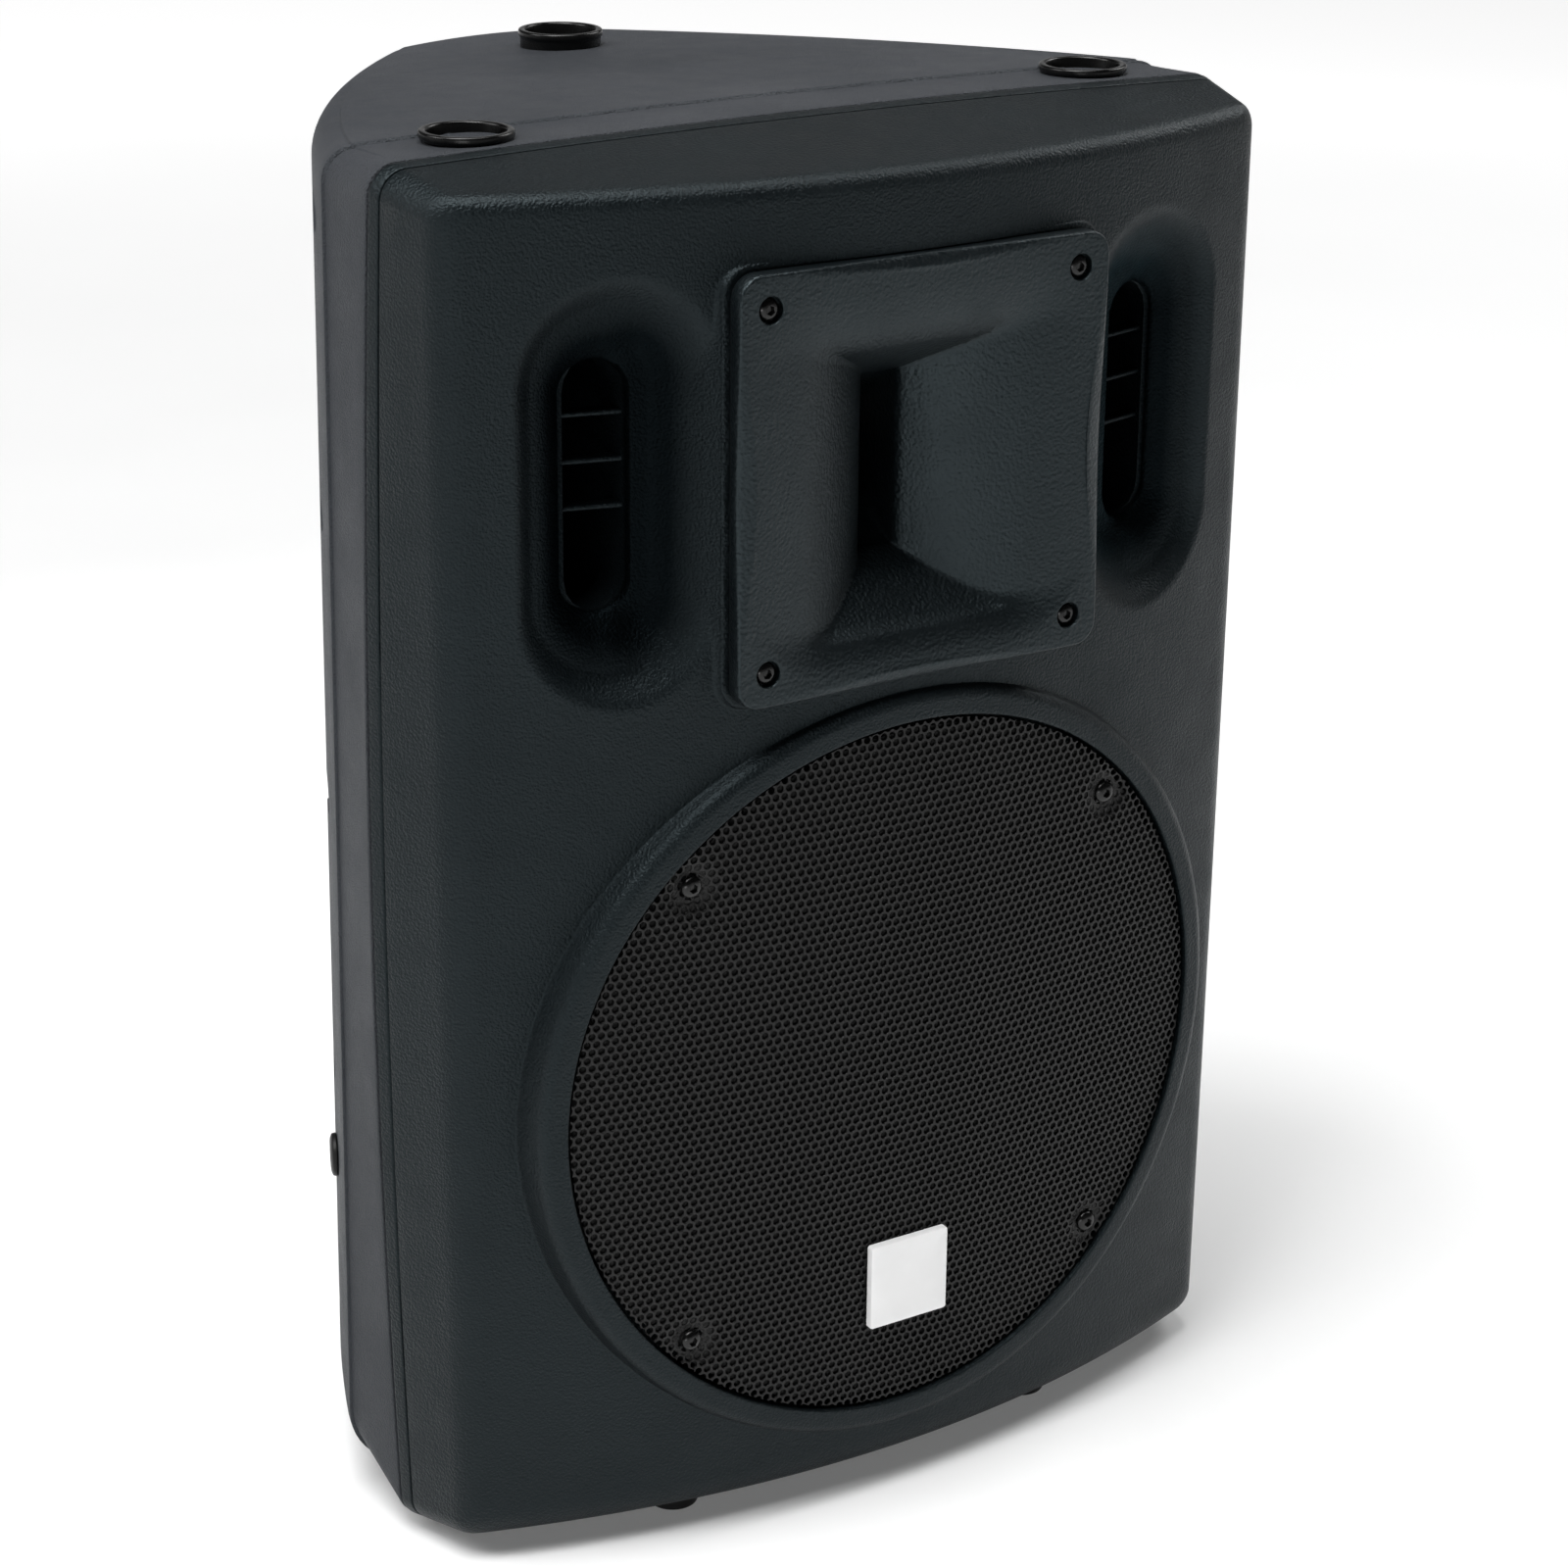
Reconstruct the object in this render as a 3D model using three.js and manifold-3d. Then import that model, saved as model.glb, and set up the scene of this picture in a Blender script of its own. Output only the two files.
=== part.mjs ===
// Two-way PA loudspeaker cabinet in two moulded halves: a bowed front baffle with a horn, a
// twelve-inch woofer behind a round grille and two slot ports, and a tapered rear shell.
// Millimetres. X points right for someone facing the front, Y points back, Z points up.
// Inside this file y = 0 is the front edge of the woofer ring on the centre line and z = 0 is
// the floor. The finished group is moved back so that its origin is the centre of its base.
import * as THREE from 'three';
import { mergeVertices } from 'three/addons/utils/BufferGeometryUtils.js';
import Module from 'manifold-3d';

const wasm = await Module();
wasm.setup();

// ---- driving dimensions -------------------------------------------------------------------
const GAP = 0.3; // air left between two pieces that touch
const WALL = 5; // moulded wall of both halves
const OVERRUN = 12; // how far a cutter runs past what it cuts

const GRILLE_RADIUS = 157; // opening in the woofer ring
const WOOFER_Z = 199; // height of the woofer's axis
const RING_BOW = 869; // radius, in plan, of the ring's front
const RING_FRONT_RADIUS = 169;
const RING_BASE_RADIUS = 172;
const FACE_BOW = 535; // radius, in plan, of the baffle's face
const FACE_SET_BACK = 4.5; // the face behind the ring on the centre line
const FACE_THICKNESS = 6;
const LEDGE_Y = 33; // the woofer sits here
const LEDGE_RADIUS = 141;
const LEDGE_BACK_Y = 41;

const SEAM_Y = 79.6; // back edge of the front moulding
const SHELL_FRONT_Y = 80.9; // front edge of the rear shell
const BAND_END_Y = 119; // the rear shell's straight band ends here
const BAND_TAPER = 3.4; // how much the band narrows on each side
const REAR_Y = 361; // flat back of the rear shell
const REAR_EDGE = 14; // depth of the rounding along the back's edges
const REAR_CORNER_Y = 352.7; // the tapered sides turn into the back here
const REAR_CORNER_WIDTH = 18.6;
const BADGE_FRONT_Y = -2; // foremost point of the cabinet

const PLAN_RADIUS = 690; // the rear shell's tapered sides, in plan
const PLAN_CENTRE = { x: -445.9, y: -117 };
const SIDE_SPREAD = 0.0132; // the tapered sides widen by this much per unit of height lost
const TOP_SLOPE = 0.04; // fall of the rear shell's top per unit of depth

const HORN_Z = 462;
const HORN_HALF = 87; // half of the square flange
const HORN_FRONT_Y = -0.5;
const HORN_FLANGE_BACK_Y = 7.4;
const HORN_BOSS_Y = 8.9;
const HORN_SCREW_SPACING = 73;
const HORN_END_Y = 95;
const THROAT_RADIUS = 12.7;

const PORT_X = 126;
const PORT_Z = 464;
const PORT_HALF_WIDTH = 14;
const PORT_HALF_HEIGHT = 51.5;
const PORT_FIN_PITCH = 18.8;
const PORT_TUBE_Y = 44;
const PORT_END_Y = 190;

const GRILLE_SCREW_SPACING = 102.8; // from the woofer's axis, along X and along Z
const GRILLE_SET_BACK = 2;
const GRILLE_THICKNESS = 1.2;
const FOAM_THICKNESS = 4;

const CUP_RIM_Z = 594;
const REAR_CUP_RIM_Z = 593;
const CUP_RADIUS = 18.8;
const FRONT_CUP = { x: 147.6, y: 103 };
const REAR_CUP_Y = 293.7;

const POLE = { y: 165, bore: 18, depth: 86.5 };
const FOOT_RADIUS = 11;
const FRONT_FOOT = { x: 93, y: 41, top: 7.4 };
const REAR_FOOT = { x: 75, y: 300, top: 7.2 };

const SHELL_SCREW_X = 187;
const SHELL_SCREW_Z = [60, 184, 308, 432, 556];
const POCKET_RADIUS = 7.5;
const POCKET_FLOOR_Y = 136;

const PANEL = { z: 160, halfX: 36, halfZ: 65, y: 354.3, thickness: 2 };
const SOCKET_Z = [142, 178];

const HANDLE = { y: 235, z: 300, halfU: 56, halfZ: 36, depth: 44.5, wall: 3.5 };

// ---- materials ----------------------------------------------------------------------------
function material(color, roughness, metalness = 0) {
  return new THREE.MeshStandardMaterial({ color, roughness, metalness });
}
const FRONT_PLASTIC = material(0x2c3133, 0.6);
const SHELL_PLASTIC = material(0x3c3f42, 0.75);
const RUBBER = material(0x101112, 0.55);
const GRILLE_STEEL = material(0x26282b, 0.5, 0.4);
const BLACK_STEEL = material(0x18191a, 0.35, 0.7);
const ZINC = material(0x9a9b98, 0.4, 0.8);
const FERRITE = material(0x1d1d1f, 0.7);
const PAPER = material(0x1a1a1b, 0.9);
const FOAM = material(0x121212, 1);
const BADGE_WHITE = material(0xe8e8e6, 0.4);
const COPPER = material(0xb06a35, 0.35, 0.8);
const BOARD_GREEN = material(0x1e4a30, 0.6);
const WOOL = material(0xc9c6bd, 1);
const ALLOY = material(0x303234, 0.5, 0.6);

// ---- geometry helpers ---------------------------------------------------------------------
function signedVolume(position, index) {
  const corner = [0, 1, 2].map(() => new THREE.Vector3());
  let total = 0;
  for (let i = 0; i < index.length; i += 3) {
    corner.forEach((point, k) => point.fromBufferAttribute(position, index[i + k]));
    total += corner[0].dot(corner[1].cross(corner[2])) / 6;
  }
  return total;
}

// One closed mesh with shared vertices, no empty triangles and its faces pointing out.
function closed(geometry) {
  const bare = geometry.index ? geometry.toNonIndexed() : geometry.clone();
  bare.deleteAttribute('normal');
  bare.deleteAttribute('uv');
  const merged = mergeVertices(bare, 1e-4);
  const corners = merged.index.array;
  const index = [];
  for (let i = 0; i < corners.length; i += 3) {
    const [a, b, c] = corners.slice(i, i + 3);
    if (a !== b && b !== c && c !== a) index.push(a, b, c);
  }
  if (signedVolume(merged.attributes.position, index) < 0) index.reverse();
  merged.setIndex(index);
  return merged;
}

function solid(geometry) {
  const mesh = closed(geometry);
  return new wasm.Manifold(new wasm.Mesh({
    numProp: 3,
    vertProperties: new Float32Array(mesh.attributes.position.array),
    triVerts: new Uint32Array(mesh.index.array),
  }));
}

function geometryOf(manifold) {
  const mesh = manifold.getMesh();
  const geometry = new THREE.BufferGeometry();
  geometry.setAttribute('position', new THREE.BufferAttribute(mesh.vertProperties, 3));
  geometry.setIndex(new THREE.BufferAttribute(mesh.triVerts, 1));
  return geometry;
}

// Skins a closed body over a row of sections: { y, points: [[x, z], ...] }, all of one length.
function loft(sections) {
  const count = sections[0].points.length;
  const position = [];
  const index = [];
  for (const { y, points } of sections) {
    points.forEach(([x, z]) => position.push(x, y, z));
  }
  for (let ring = 0; ring + 1 < sections.length; ring += 1) {
    for (let i = 0; i < count; i += 1) {
      const a = ring * count + i;
      const b = ring * count + (i + 1) % count;
      index.push(a, b, b + count, a, b + count, a + count);
    }
  }
  [0, sections.length - 1].forEach((ring, end) => {
    const { y, points } = sections[ring];
    const centre = position.length / 3;
    const mean = [0, 1].map((k) => points.reduce((sum, p) => sum + p[k], 0) / count);
    position.push(mean[0], y, mean[1]);
    for (let i = 0; i < count; i += 1) {
      const a = ring * count + i;
      const b = ring * count + (i + 1) % count;
      index.push(...(end === 0 ? [centre, b, a] : [centre, a, b]));
    }
  });
  const geometry = new THREE.BufferGeometry();
  geometry.setAttribute('position', new THREE.Float32BufferAttribute(position, 3));
  geometry.setIndex(index);
  return geometry;
}

// A prism along Y between y0 and y1 over an outline of [x, z] points.
function prism(points, y0, y1) {
  return loft([{ y: y0, points }, { y: y1, points }]);
}

function arcPoints(x, z, radius, from, to, steps) {
  return Array.from({ length: steps + 1 }, (_, i) => {
    const angle = THREE.MathUtils.degToRad(from + (to - from) * i / steps);
    return [x + radius * Math.cos(angle), z + radius * Math.sin(angle)];
  });
}

function roundedBox(x, z, halfX, halfZ, radius, steps = 4) {
  const dx = halfX - radius;
  const dz = halfZ - radius;
  return [
    ...arcPoints(x + dx, z - dz, radius, -90, 0, steps),
    ...arcPoints(x + dx, z + dz, radius, 0, 90, steps),
    ...arcPoints(x - dx, z + dz, radius, 90, 180, steps),
    ...arcPoints(x - dx, z - dz, radius, 180, 270, steps),
  ];
}

// A lathe about Y whose profile is a list of [radius, y].
function turned(profile, segments = 32) {
  const loop = profile[0][0] === 0 ? profile : [...profile, profile[0]];
  return new THREE.LatheGeometry(loop.map(([r, y]) => new THREE.Vector2(r, y)), segments);
}

// A lathe about Z whose profile is a list of [radius, z].
function upright(profile, segments = 24) {
  return turned(profile, segments).rotateX(Math.PI / 2);
}

function rod(radius, y0, y1, x, z, segments = 12, backRadius = radius) {
  const geometry = new THREE.CylinderGeometry(backRadius, radius, y1 - y0, segments);
  return geometry.translate(x, (y0 + y1) / 2, z);
}

function block(x0, x1, y0, y1, z0, z1) {
  const geometry = new THREE.BoxGeometry(x1 - x0, y1 - y0, z1 - z0);
  return geometry.translate((x0 + x1) / 2, (y0 + y1) / 2, (z0 + z1) / 2);
}

function bow(x, radius) {
  return radius - Math.sqrt(radius * radius - x * x);
}

// Everything behind a surface that is bowed in plan and starts at y on the centre line.
function behindBow(y, radius) {
  const reach = 230;
  const steps = 20;
  const shape = new THREE.Shape();
  shape.moveTo(reach, REAR_Y);
  shape.lineTo(-reach, REAR_Y);
  for (let i = 0; i <= steps; i += 1) {
    const x = -reach + 2 * reach * i / steps;
    shape.lineTo(x, y + bow(x, radius));
  }
  const height = CUP_RIM_Z + 2 * OVERRUN;
  const geometry = new THREE.ExtrudeGeometry(shape, { depth: height, bevelEnabled: false });
  return solid(geometry.translate(0, 0, -OVERRUN));
}

// ---- outlines of the two halves -----------------------------------------------------------
// The outline at the seam bulges at its sides and is crowned on top.
function seamSide(z) {
  return 209.9 - 7.77e-5 * (z - 259) ** 2;
}
const SEAM = { side: seamSide, top: 589.5, crown: 2.6, bottom: 4.5, radius: 13 };
const BAND_END = { ...SEAM, side: (z) => seamSide(z) - BAND_TAPER, top: 589.3 };
const CREASE = { side: () => 193.4, top: 581.6, crown: 0, bottom: 12.2, radius: 9 };

function outline(form, inset = 0) {
  const radius = Math.max(form.radius - inset, 2);
  const low = form.bottom + inset + radius;
  const high = form.top - inset - radius;
  const xLow = form.side(low) - inset - radius;
  const xHigh = form.side(high) - inset - radius;
  const sideSteps = 5;
  const topSteps = 6;
  const right = [];
  for (let i = 1; i < sideSteps; i += 1) {
    const z = low + (high - low) * i / sideSteps;
    right.push([form.side(z) - inset, z]);
  }
  const top = [];
  for (let i = 1; i < topSteps; i += 1) {
    const x = xHigh * (1 - 2 * i / topSteps);
    top.push([x, form.top - inset + form.crown * (1 - (x / xHigh) ** 2)]);
  }
  const left = right.map(([x, z]) => [-x, z]).reverse();
  return [
    ...arcPoints(xLow, low, radius, -90, 0, 4),
    ...right,
    ...arcPoints(xHigh, high, radius, 0, 90, 4),
    ...top,
    ...arcPoints(-xHigh, high, radius, 90, 180, 4),
    ...left,
    ...arcPoints(-xLow, low, radius, 180, 270, 4),
  ];
}

// The front moulding's flanks are ruled from its front crease to the seam, and run on forward.
function frontBlock(inset, backY) {
  const crease = outline(CREASE, inset);
  const seam = outline(SEAM, inset);
  const sectionAt = (y) => ({
    y,
    points: seam.map(([x, z], i) => {
      const creaseY = FACE_SET_BACK + bow(crease[i][0], FACE_BOW);
      const t = (SEAM_Y - y) / (SEAM_Y - creaseY);
      return [x + (crease[i][0] - x) * t, z + (crease[i][1] - z) * t];
    }),
  });
  return solid(loft([sectionAt(-OVERRUN), sectionAt(backY)]));
}

// How far a quarter ellipse has come in, at depth out of its length, when width is the whole way.
function roundedIn(depth, length, width) {
  const share = Math.min(Math.max(depth / length, 0), 1);
  return width * (1 - Math.sqrt(1 - share * share));
}

// The rear shell's tapered part at y: half width, top and bottom, with rounded rear edges.
function taperedForm(y) {
  const across = PLAN_RADIUS ** 2 - (Math.min(y, REAR_CORNER_Y) - PLAN_CENTRE.y) ** 2;
  const corner = roundedIn(y - REAR_CORNER_Y, REAR_Y - REAR_CORNER_Y + 0.1, REAR_CORNER_WIDTH);
  const width = PLAN_CENTRE.x + Math.sqrt(across) - corner;
  const edge = roundedIn(y - REAR_Y + REAR_EDGE, REAR_EDGE, 0.8 * REAR_EDGE);
  return {
    side: (z) => width + SIDE_SPREAD * (CUP_RIM_Z - z),
    top: 589 - TOP_SLOPE * (y - BAND_END_Y) - edge,
    crown: 2.6,
    bottom: 7.5 + edge,
    radius: 13,
  };
}

function shellLoft(inset, rearY) {
  const stations = [BAND_END_Y + 0.6, 165, 215, 265, 310, 340, REAR_CORNER_Y, 358.5, REAR_Y];
  const stretch = (rearY - BAND_END_Y) / (REAR_Y - BAND_END_Y);
  const frontY = SHELL_FRONT_Y - (inset > 0 ? OVERRUN : 0);
  const sections = [
    { y: frontY, points: outline(SEAM, inset) },
    { y: BAND_END_Y, points: outline(BAND_END, inset) },
    ...stations.map((y) => ({
      y: BAND_END_Y + (y - BAND_END_Y) * stretch,
      points: outline(taperedForm(y), inset),
    })),
  ];
  return solid(loft(sections));
}

// ---- front moulding -----------------------------------------------------------------------
function mirrored(values) {
  return values.flatMap((value) => [-value, value]);
}

function hornOpening(half, chamfer) {
  const cut = half - chamfer;
  return [
    [cut, -half], [half, -cut], [half, cut], [cut, half],
    [-cut, half], [-half, cut], [-half, -cut], [-cut, -half],
  ].map(([x, z]) => [x, z + HORN_Z]);
}

// The flare of one port, square to the bowed face, grown by a margin all round.
function portFlare(side, margin) {
  const steps = [[-8, 44, 90], [0, 44, 90], [3, 36, 81], [8, 24, 65], [14, PORT_HALF_WIDTH, 53]];
  const sections = steps.map(([depth, halfX, halfZ]) => ({
    y: depth + margin,
    points: roundedBox(0, 0, halfX + margin, halfZ + margin, halfX + margin, 4),
  }));
  const geometry = loft(sections);
  geometry.rotateZ(side * Math.asin(PORT_X / FACE_BOW));
  const faceY = FACE_SET_BACK + bow(PORT_X, FACE_BOW);
  return solid(geometry.translate(side * PORT_X, faceY, PORT_Z));
}

function portSlot(side, grow, y0, y1) {
  const halfX = PORT_HALF_WIDTH + grow;
  const halfZ = PORT_HALF_HEIGHT + grow;
  return solid(prism(roundedBox(side * PORT_X, PORT_Z, halfX, halfZ, halfX, 4), y0, y1));
}

// Three thin fins bridge each port where its flare ends.
function portFins(side) {
  const x = side * PORT_X;
  const halfX = PORT_HALF_WIDTH + 1;
  return [-0.5, 0.5, 1.5].map((step) => {
    const z = PORT_Z + step * PORT_FIN_PITCH;
    return solid(block(x - halfX, x + halfX, 31.5, 40, z - 1, z + 1));
  });
}

function portTube(side) {
  const tube = portSlot(side, 2.6, PORT_TUBE_Y, PORT_END_Y);
  return geometryOf(tube.subtract(portSlot(side, 0, 0, REAR_Y)));
}

function frontBaffle() {
  const outer = frontBlock(0, SEAM_Y);
  const inner = frontBlock(WALL, SEAM_Y + OVERRUN);
  const face = behindBow(FACE_SET_BACK, FACE_BOW);
  let body = outer.intersect(face);
  body = body.subtract(inner.intersect(behindBow(FACE_SET_BACK + FACE_THICKNESS, FACE_BOW)));
  const ring = solid(rod(RING_FRONT_RADIUS, -OVERRUN, LEDGE_BACK_Y, 0, WOOFER_Z, 48, RING_BASE_RADIUS));
  body = body.add(ring.intersect(behindBow(0, RING_BOW)));
  body = body.add(solid(prism(roundedBox(0, HORN_Z, 88.5, 88.5, 12), HORN_BOSS_Y, 19)));
  for (const side of [-1, 1]) {
    body = body.add(portFlare(side, 4).intersect(face).intersect(outer));
    for (const z of SHELL_SCREW_Z) {
      const boss = solid(block(side * SHELL_SCREW_X - 7, side * SHELL_SCREW_X + 7, 58, SEAM_Y, z - 7, z + 7));
      const rib = solid(block(side * SHELL_SCREW_X, side * 215, 58, SEAM_Y, z - 3, z + 3));
      body = body.add(boss).add(rib.intersect(outer));
    }
    const pad = upright([[0, FRONT_FOOT.top + GAP], [12.5, FRONT_FOOT.top + GAP], [12.5, 15], [0, 15]], 16);
    body = body.add(solid(pad.translate(side * FRONT_FOOT.x, FRONT_FOOT.y, 0)));
  }
  return geometryOf(cutFront(body));
}

function cutFront(uncut) {
  let body = uncut.subtract(solid(rod(GRILLE_RADIUS, -OVERRUN, LEDGE_Y, 0, WOOFER_Z, 48)));
  body = body.subtract(solid(rod(LEDGE_RADIUS, 0, LEDGE_BACK_Y + OVERRUN, 0, WOOFER_Z, 36)));
  const seat = roundedBox(0, HORN_Z, HORN_HALF + 0.6, HORN_HALF + 0.6, 10.6);
  body = body.subtract(solid(prism(seat, -OVERRUN, HORN_BOSS_Y)));
  body = body.subtract(solid(prism(hornOpening(76, 20), 0, LEDGE_BACK_Y)));
  for (const side of [-1, 1]) {
    body = body.subtract(portFlare(side, 0)).subtract(portSlot(side, 0, 0, 60));
    portFins(side).forEach((fin) => {
      body = body.add(fin);
    });
    for (const z of SHELL_SCREW_Z) {
      body = body.subtract(solid(rod(2, 62, SEAM_Y + OVERRUN, side * SHELL_SCREW_X, z, 6)));
    }
  }
  for (const dx of mirrored([HORN_SCREW_SPACING])) {
    for (const dz of mirrored([HORN_SCREW_SPACING])) {
      body = body.subtract(solid(rod(3, 0, 30, dx, HORN_Z + dz, 6)));
    }
  }
  for (let i = 0; i < 8; i += 1) {
    const [x, z] = basketBolt(i);
    body = body.subtract(solid(rod(3.1, LEDGE_Y - 1, LEDGE_BACK_Y + 1, x, WOOFER_Z + z, 6)));
  }
  return body;
}

// ---- rear shell ---------------------------------------------------------------------------
// Where the side handle sits: a point on the tapered side and how far the side has turned.
function handlePlace(side) {
  const turn = Math.asin((HANDLE.y - PLAN_CENTRE.y) / PLAN_RADIUS);
  const x = PLAN_CENTRE.x + PLAN_RADIUS * Math.cos(turn) + SIDE_SPREAD * (CUP_RIM_Z - HANDLE.z);
  return new THREE.Matrix4()
    .makeTranslation(side * x, HANDLE.y, HANDLE.z)
    .multiply(new THREE.Matrix4().makeRotationZ(side > 0 ? turn : Math.PI - turn));
}

// A box in the handle's own frame: n outwards, u along the side, z up.
function handleBox(side, n0, n1, halfU, halfZ) {
  return solid(block(n0, n1, -halfU, halfU, -halfZ, halfZ).applyMatrix4(handlePlace(side)));
}

function rearShell() {
  const outer = shellLoft(0, REAR_Y);
  let body = outer.subtract(shellLoft(WALL, REAR_Y - WALL));
  for (const side of [-1, 1]) {
    for (const z of SHELL_SCREW_Z) {
      const boss = solid(rod(11.5, BAND_END_Y - 8, 176, side * SHELL_SCREW_X, z, 6));
      body = body.add(boss.intersect(outer));
    }
    body = body.add(handleBox(side, -12, 2, HANDLE.halfU + 16, HANDLE.halfZ + 16).intersect(outer));
  }
  const { halfX, halfZ, z } = PANEL;
  body = body.add(solid(block(-halfX - 6, halfX + 6, 346, REAR_Y - 0.5, z - halfZ - 6, z + halfZ + 6)));
  return geometryOf(cutShell(body));
}

function cutShell(uncut) {
  let body = uncut;
  for (const side of [-1, 1]) {
    for (const z of SHELL_SCREW_Z) {
      body = body.subtract(solid(rod(POCKET_RADIUS, POCKET_FLOOR_Y, 215, side * SHELL_SCREW_X, z, 8)));
      body = body.subtract(solid(rod(2.6, 60, POCKET_FLOOR_Y + 1, side * SHELL_SCREW_X, z, 6)));
    }
    body = body.subtract(handleBox(side, -4, 12, HANDLE.halfU + 13.3, HANDLE.halfZ + 13.3));
    body = body.subtract(handleBox(side, -60, 5, HANDLE.halfU + 3.8, HANDLE.halfZ + 3.8));
    body = body.subtract(cupHole(side * FRONT_CUP.x, FRONT_CUP.y));
  }
  body = body.subtract(cupHole(0, REAR_CUP_Y));
  body = body.subtract(solid(upright([[0, -5], [24, -5], [24, 30], [0, 30]]).translate(0, POLE.y, 0)));
  const { halfX, halfZ, z, y } = PANEL;
  const edge = halfX + GAP;
  body = body.subtract(solid(block(-edge, edge, y - GAP, REAR_Y + 5, z - halfZ - GAP, z + halfZ + GAP)));
  body = body.subtract(solid(block(6 - halfX, halfX - 6, 330, REAR_Y, z - halfZ + 6, z + halfZ - 6)));
  return body;
}

function cupHole(x, y) {
  return solid(upright([[0, 560], [17, 560], [17, 620], [0, 620]]).translate(x, y, 0));
}

function seamGasket() {
  const band = (inset, y0, y1) => solid(prism(outline(SEAM, inset), y0, y1));
  const ring = band(1.2, SEAM_Y + 0.25, SHELL_FRONT_Y - 0.25);
  return geometryOf(ring.subtract(band(WALL - 0.8, SEAM_Y - 1, SHELL_FRONT_Y + 1)));
}

// ---- horn and compression driver ----------------------------------------------------------
// Inner sections of the horn: depth, half width, half height and corner radius.
const HORN_SECTIONS = [
  [HORN_FRONT_Y, 80, 81, 42],
  [1, 73, 77, 34],
  [4, 60, 70, 24],
  [9, 44, 62.5, 14],
  [16, 30, 55.5, 8],
  [25, 19.5, 48.7, 5],
  [38, 9.8, 40.2, 3],
  [62, 10.8, 25, 9],
  [HORN_END_Y, THROAT_RADIUS, THROAT_RADIUS, THROAT_RADIUS - 0.1],
];

// The horn's sections from one on, grown by a wall and set back.
function hornSections(grow, from, setBack) {
  return HORN_SECTIONS.slice(from).map(([y, halfX, halfZ, radius]) => ({
    y: Math.min(y + setBack, HORN_END_Y),
    points: roundedBox(0, HORN_Z, halfX + grow, halfZ + grow, radius + grow * 0.9, 3),
  }));
}

function hornWaveguide() {
  const plate = roundedBox(0, HORN_Z, HORN_HALF, HORN_HALF, 10);
  let body = solid(prism(plate, HORN_FRONT_Y, HORN_FLANGE_BACK_Y));
  body = body.add(solid(loft(hornSections(4, 1, 2))));
  body = body.add(solid(rod(38, HORN_END_Y - 7, HORN_END_Y, 0, HORN_Z, 28)));
  const inner = hornSections(0, 0, 0);
  const before = { y: HORN_FRONT_Y - 5, points: inner[0].points };
  const after = { y: HORN_END_Y + 5, points: inner[inner.length - 1].points };
  body = body.subtract(solid(loft([before, ...inner, after])));
  for (const dx of mirrored([HORN_SCREW_SPACING])) {
    for (const dz of mirrored([HORN_SCREW_SPACING])) {
      body = body.subtract(solid(rod(5.3, -OVERRUN, 3.2, dx, HORN_Z + dz, 16)));
      body = body.subtract(solid(rod(2.7, -OVERRUN, 20, dx, HORN_Z + dz, 8)));
    }
  }
  return geometryOf(body);
}

function hornGasket() {
  const y0 = HORN_FLANGE_BACK_Y + GAP;
  const y1 = HORN_BOSS_Y - GAP;
  let ring = solid(prism(roundedBox(0, HORN_Z, HORN_HALF - 1, HORN_HALF - 1, 9), y0, y1));
  ring = ring.subtract(solid(prism(hornOpening(77, 20), y0 - 1, y1 + 1)));
  for (const dx of mirrored([HORN_SCREW_SPACING])) {
    for (const dz of mirrored([HORN_SCREW_SPACING])) {
      ring = ring.subtract(solid(rod(3, 0, 20, dx, HORN_Z + dz, 8)));
    }
  }
  return geometryOf(ring);
}

const DRIVER_BODY = [
  [THROAT_RADIUS, 95.3], [30, 95.3], [30, 99], [46, 99], [46, 113], [THROAT_RADIUS, 113],
];
const DRIVER_DIAPHRAGM = [
  [0, 114.3], [14, 116], [24, 119.3], [31, 119.3], [31, 120.1], [23, 120.1], [14, 117.4], [0, 115.6],
];
const DRIVER_CAP = [
  [0, 124], [32, 124], [32, 113.3], [41, 113.3], [41, 122], [35, 128], [0, 128],
];

// ---- woofer -------------------------------------------------------------------------------
const BASKET_PROFILE = [
  [152.5, 27.7], [152.5, 32.7], [140, 32.7], [140, 44], [78, 103], [78, 111], [40, 111],
  [40, 107.5], [66, 107.5], [66, 98], [74, 98], [130, 41], [130, 30.2], [139, 30.2], [139, 27.7],
];
const CONE_PROFILE = [
  [118.5, 30.2], [118.5, 31.6], [113.2, 31.6], [33.8, 89], [33.8, 87.3], [112.2, 30.2],
];
const DUST_CAP_PROFILE = [
  [0, 67.5], [18, 69.5], [32, 74], [42.3, 80.2], [40.2, 80.6], [31, 75.3], [17.5, 70.8], [0, 68.8],
];
const COIL_PROFILE = [[32, 84], [33.2, 84], [33.2, 122], [32, 122]];
const SPIDER_PROFILE = [
  [34, 95.6], [44, 94.4], [55, 96.6], [65, 95.6], [73, 96.4],
  [73, 97.6], [65, 96.8], [55, 97.8], [44, 95.6], [34, 96.8],
];
const TOP_PLATE_PROFILE = [[34.6, 111.3], [74, 111.3], [74, 119.3], [34.6, 119.3]];
const MAGNET_PROFILE = [[42, 119.6], [78, 119.6], [78, 139.6], [42, 139.6]];
const YOKE_PROFILE = [[0, 112], [30.8, 112], [30.8, 139.9], [74, 139.9], [74, 147.9], [0, 147.9]];

// A half roll between two flat lips.
function surroundProfile() {
  const roll = (radius) => arcPoints(125, 28.6, radius, 180, 0, 4).map(([r, y]) => [r, 57.2 - y]);
  return [[113, 28.6], ...roll(6), [137.8, 28.6], [137.8, 29.9], ...roll(4.8).reverse(), [113, 29.9]];
}

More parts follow.
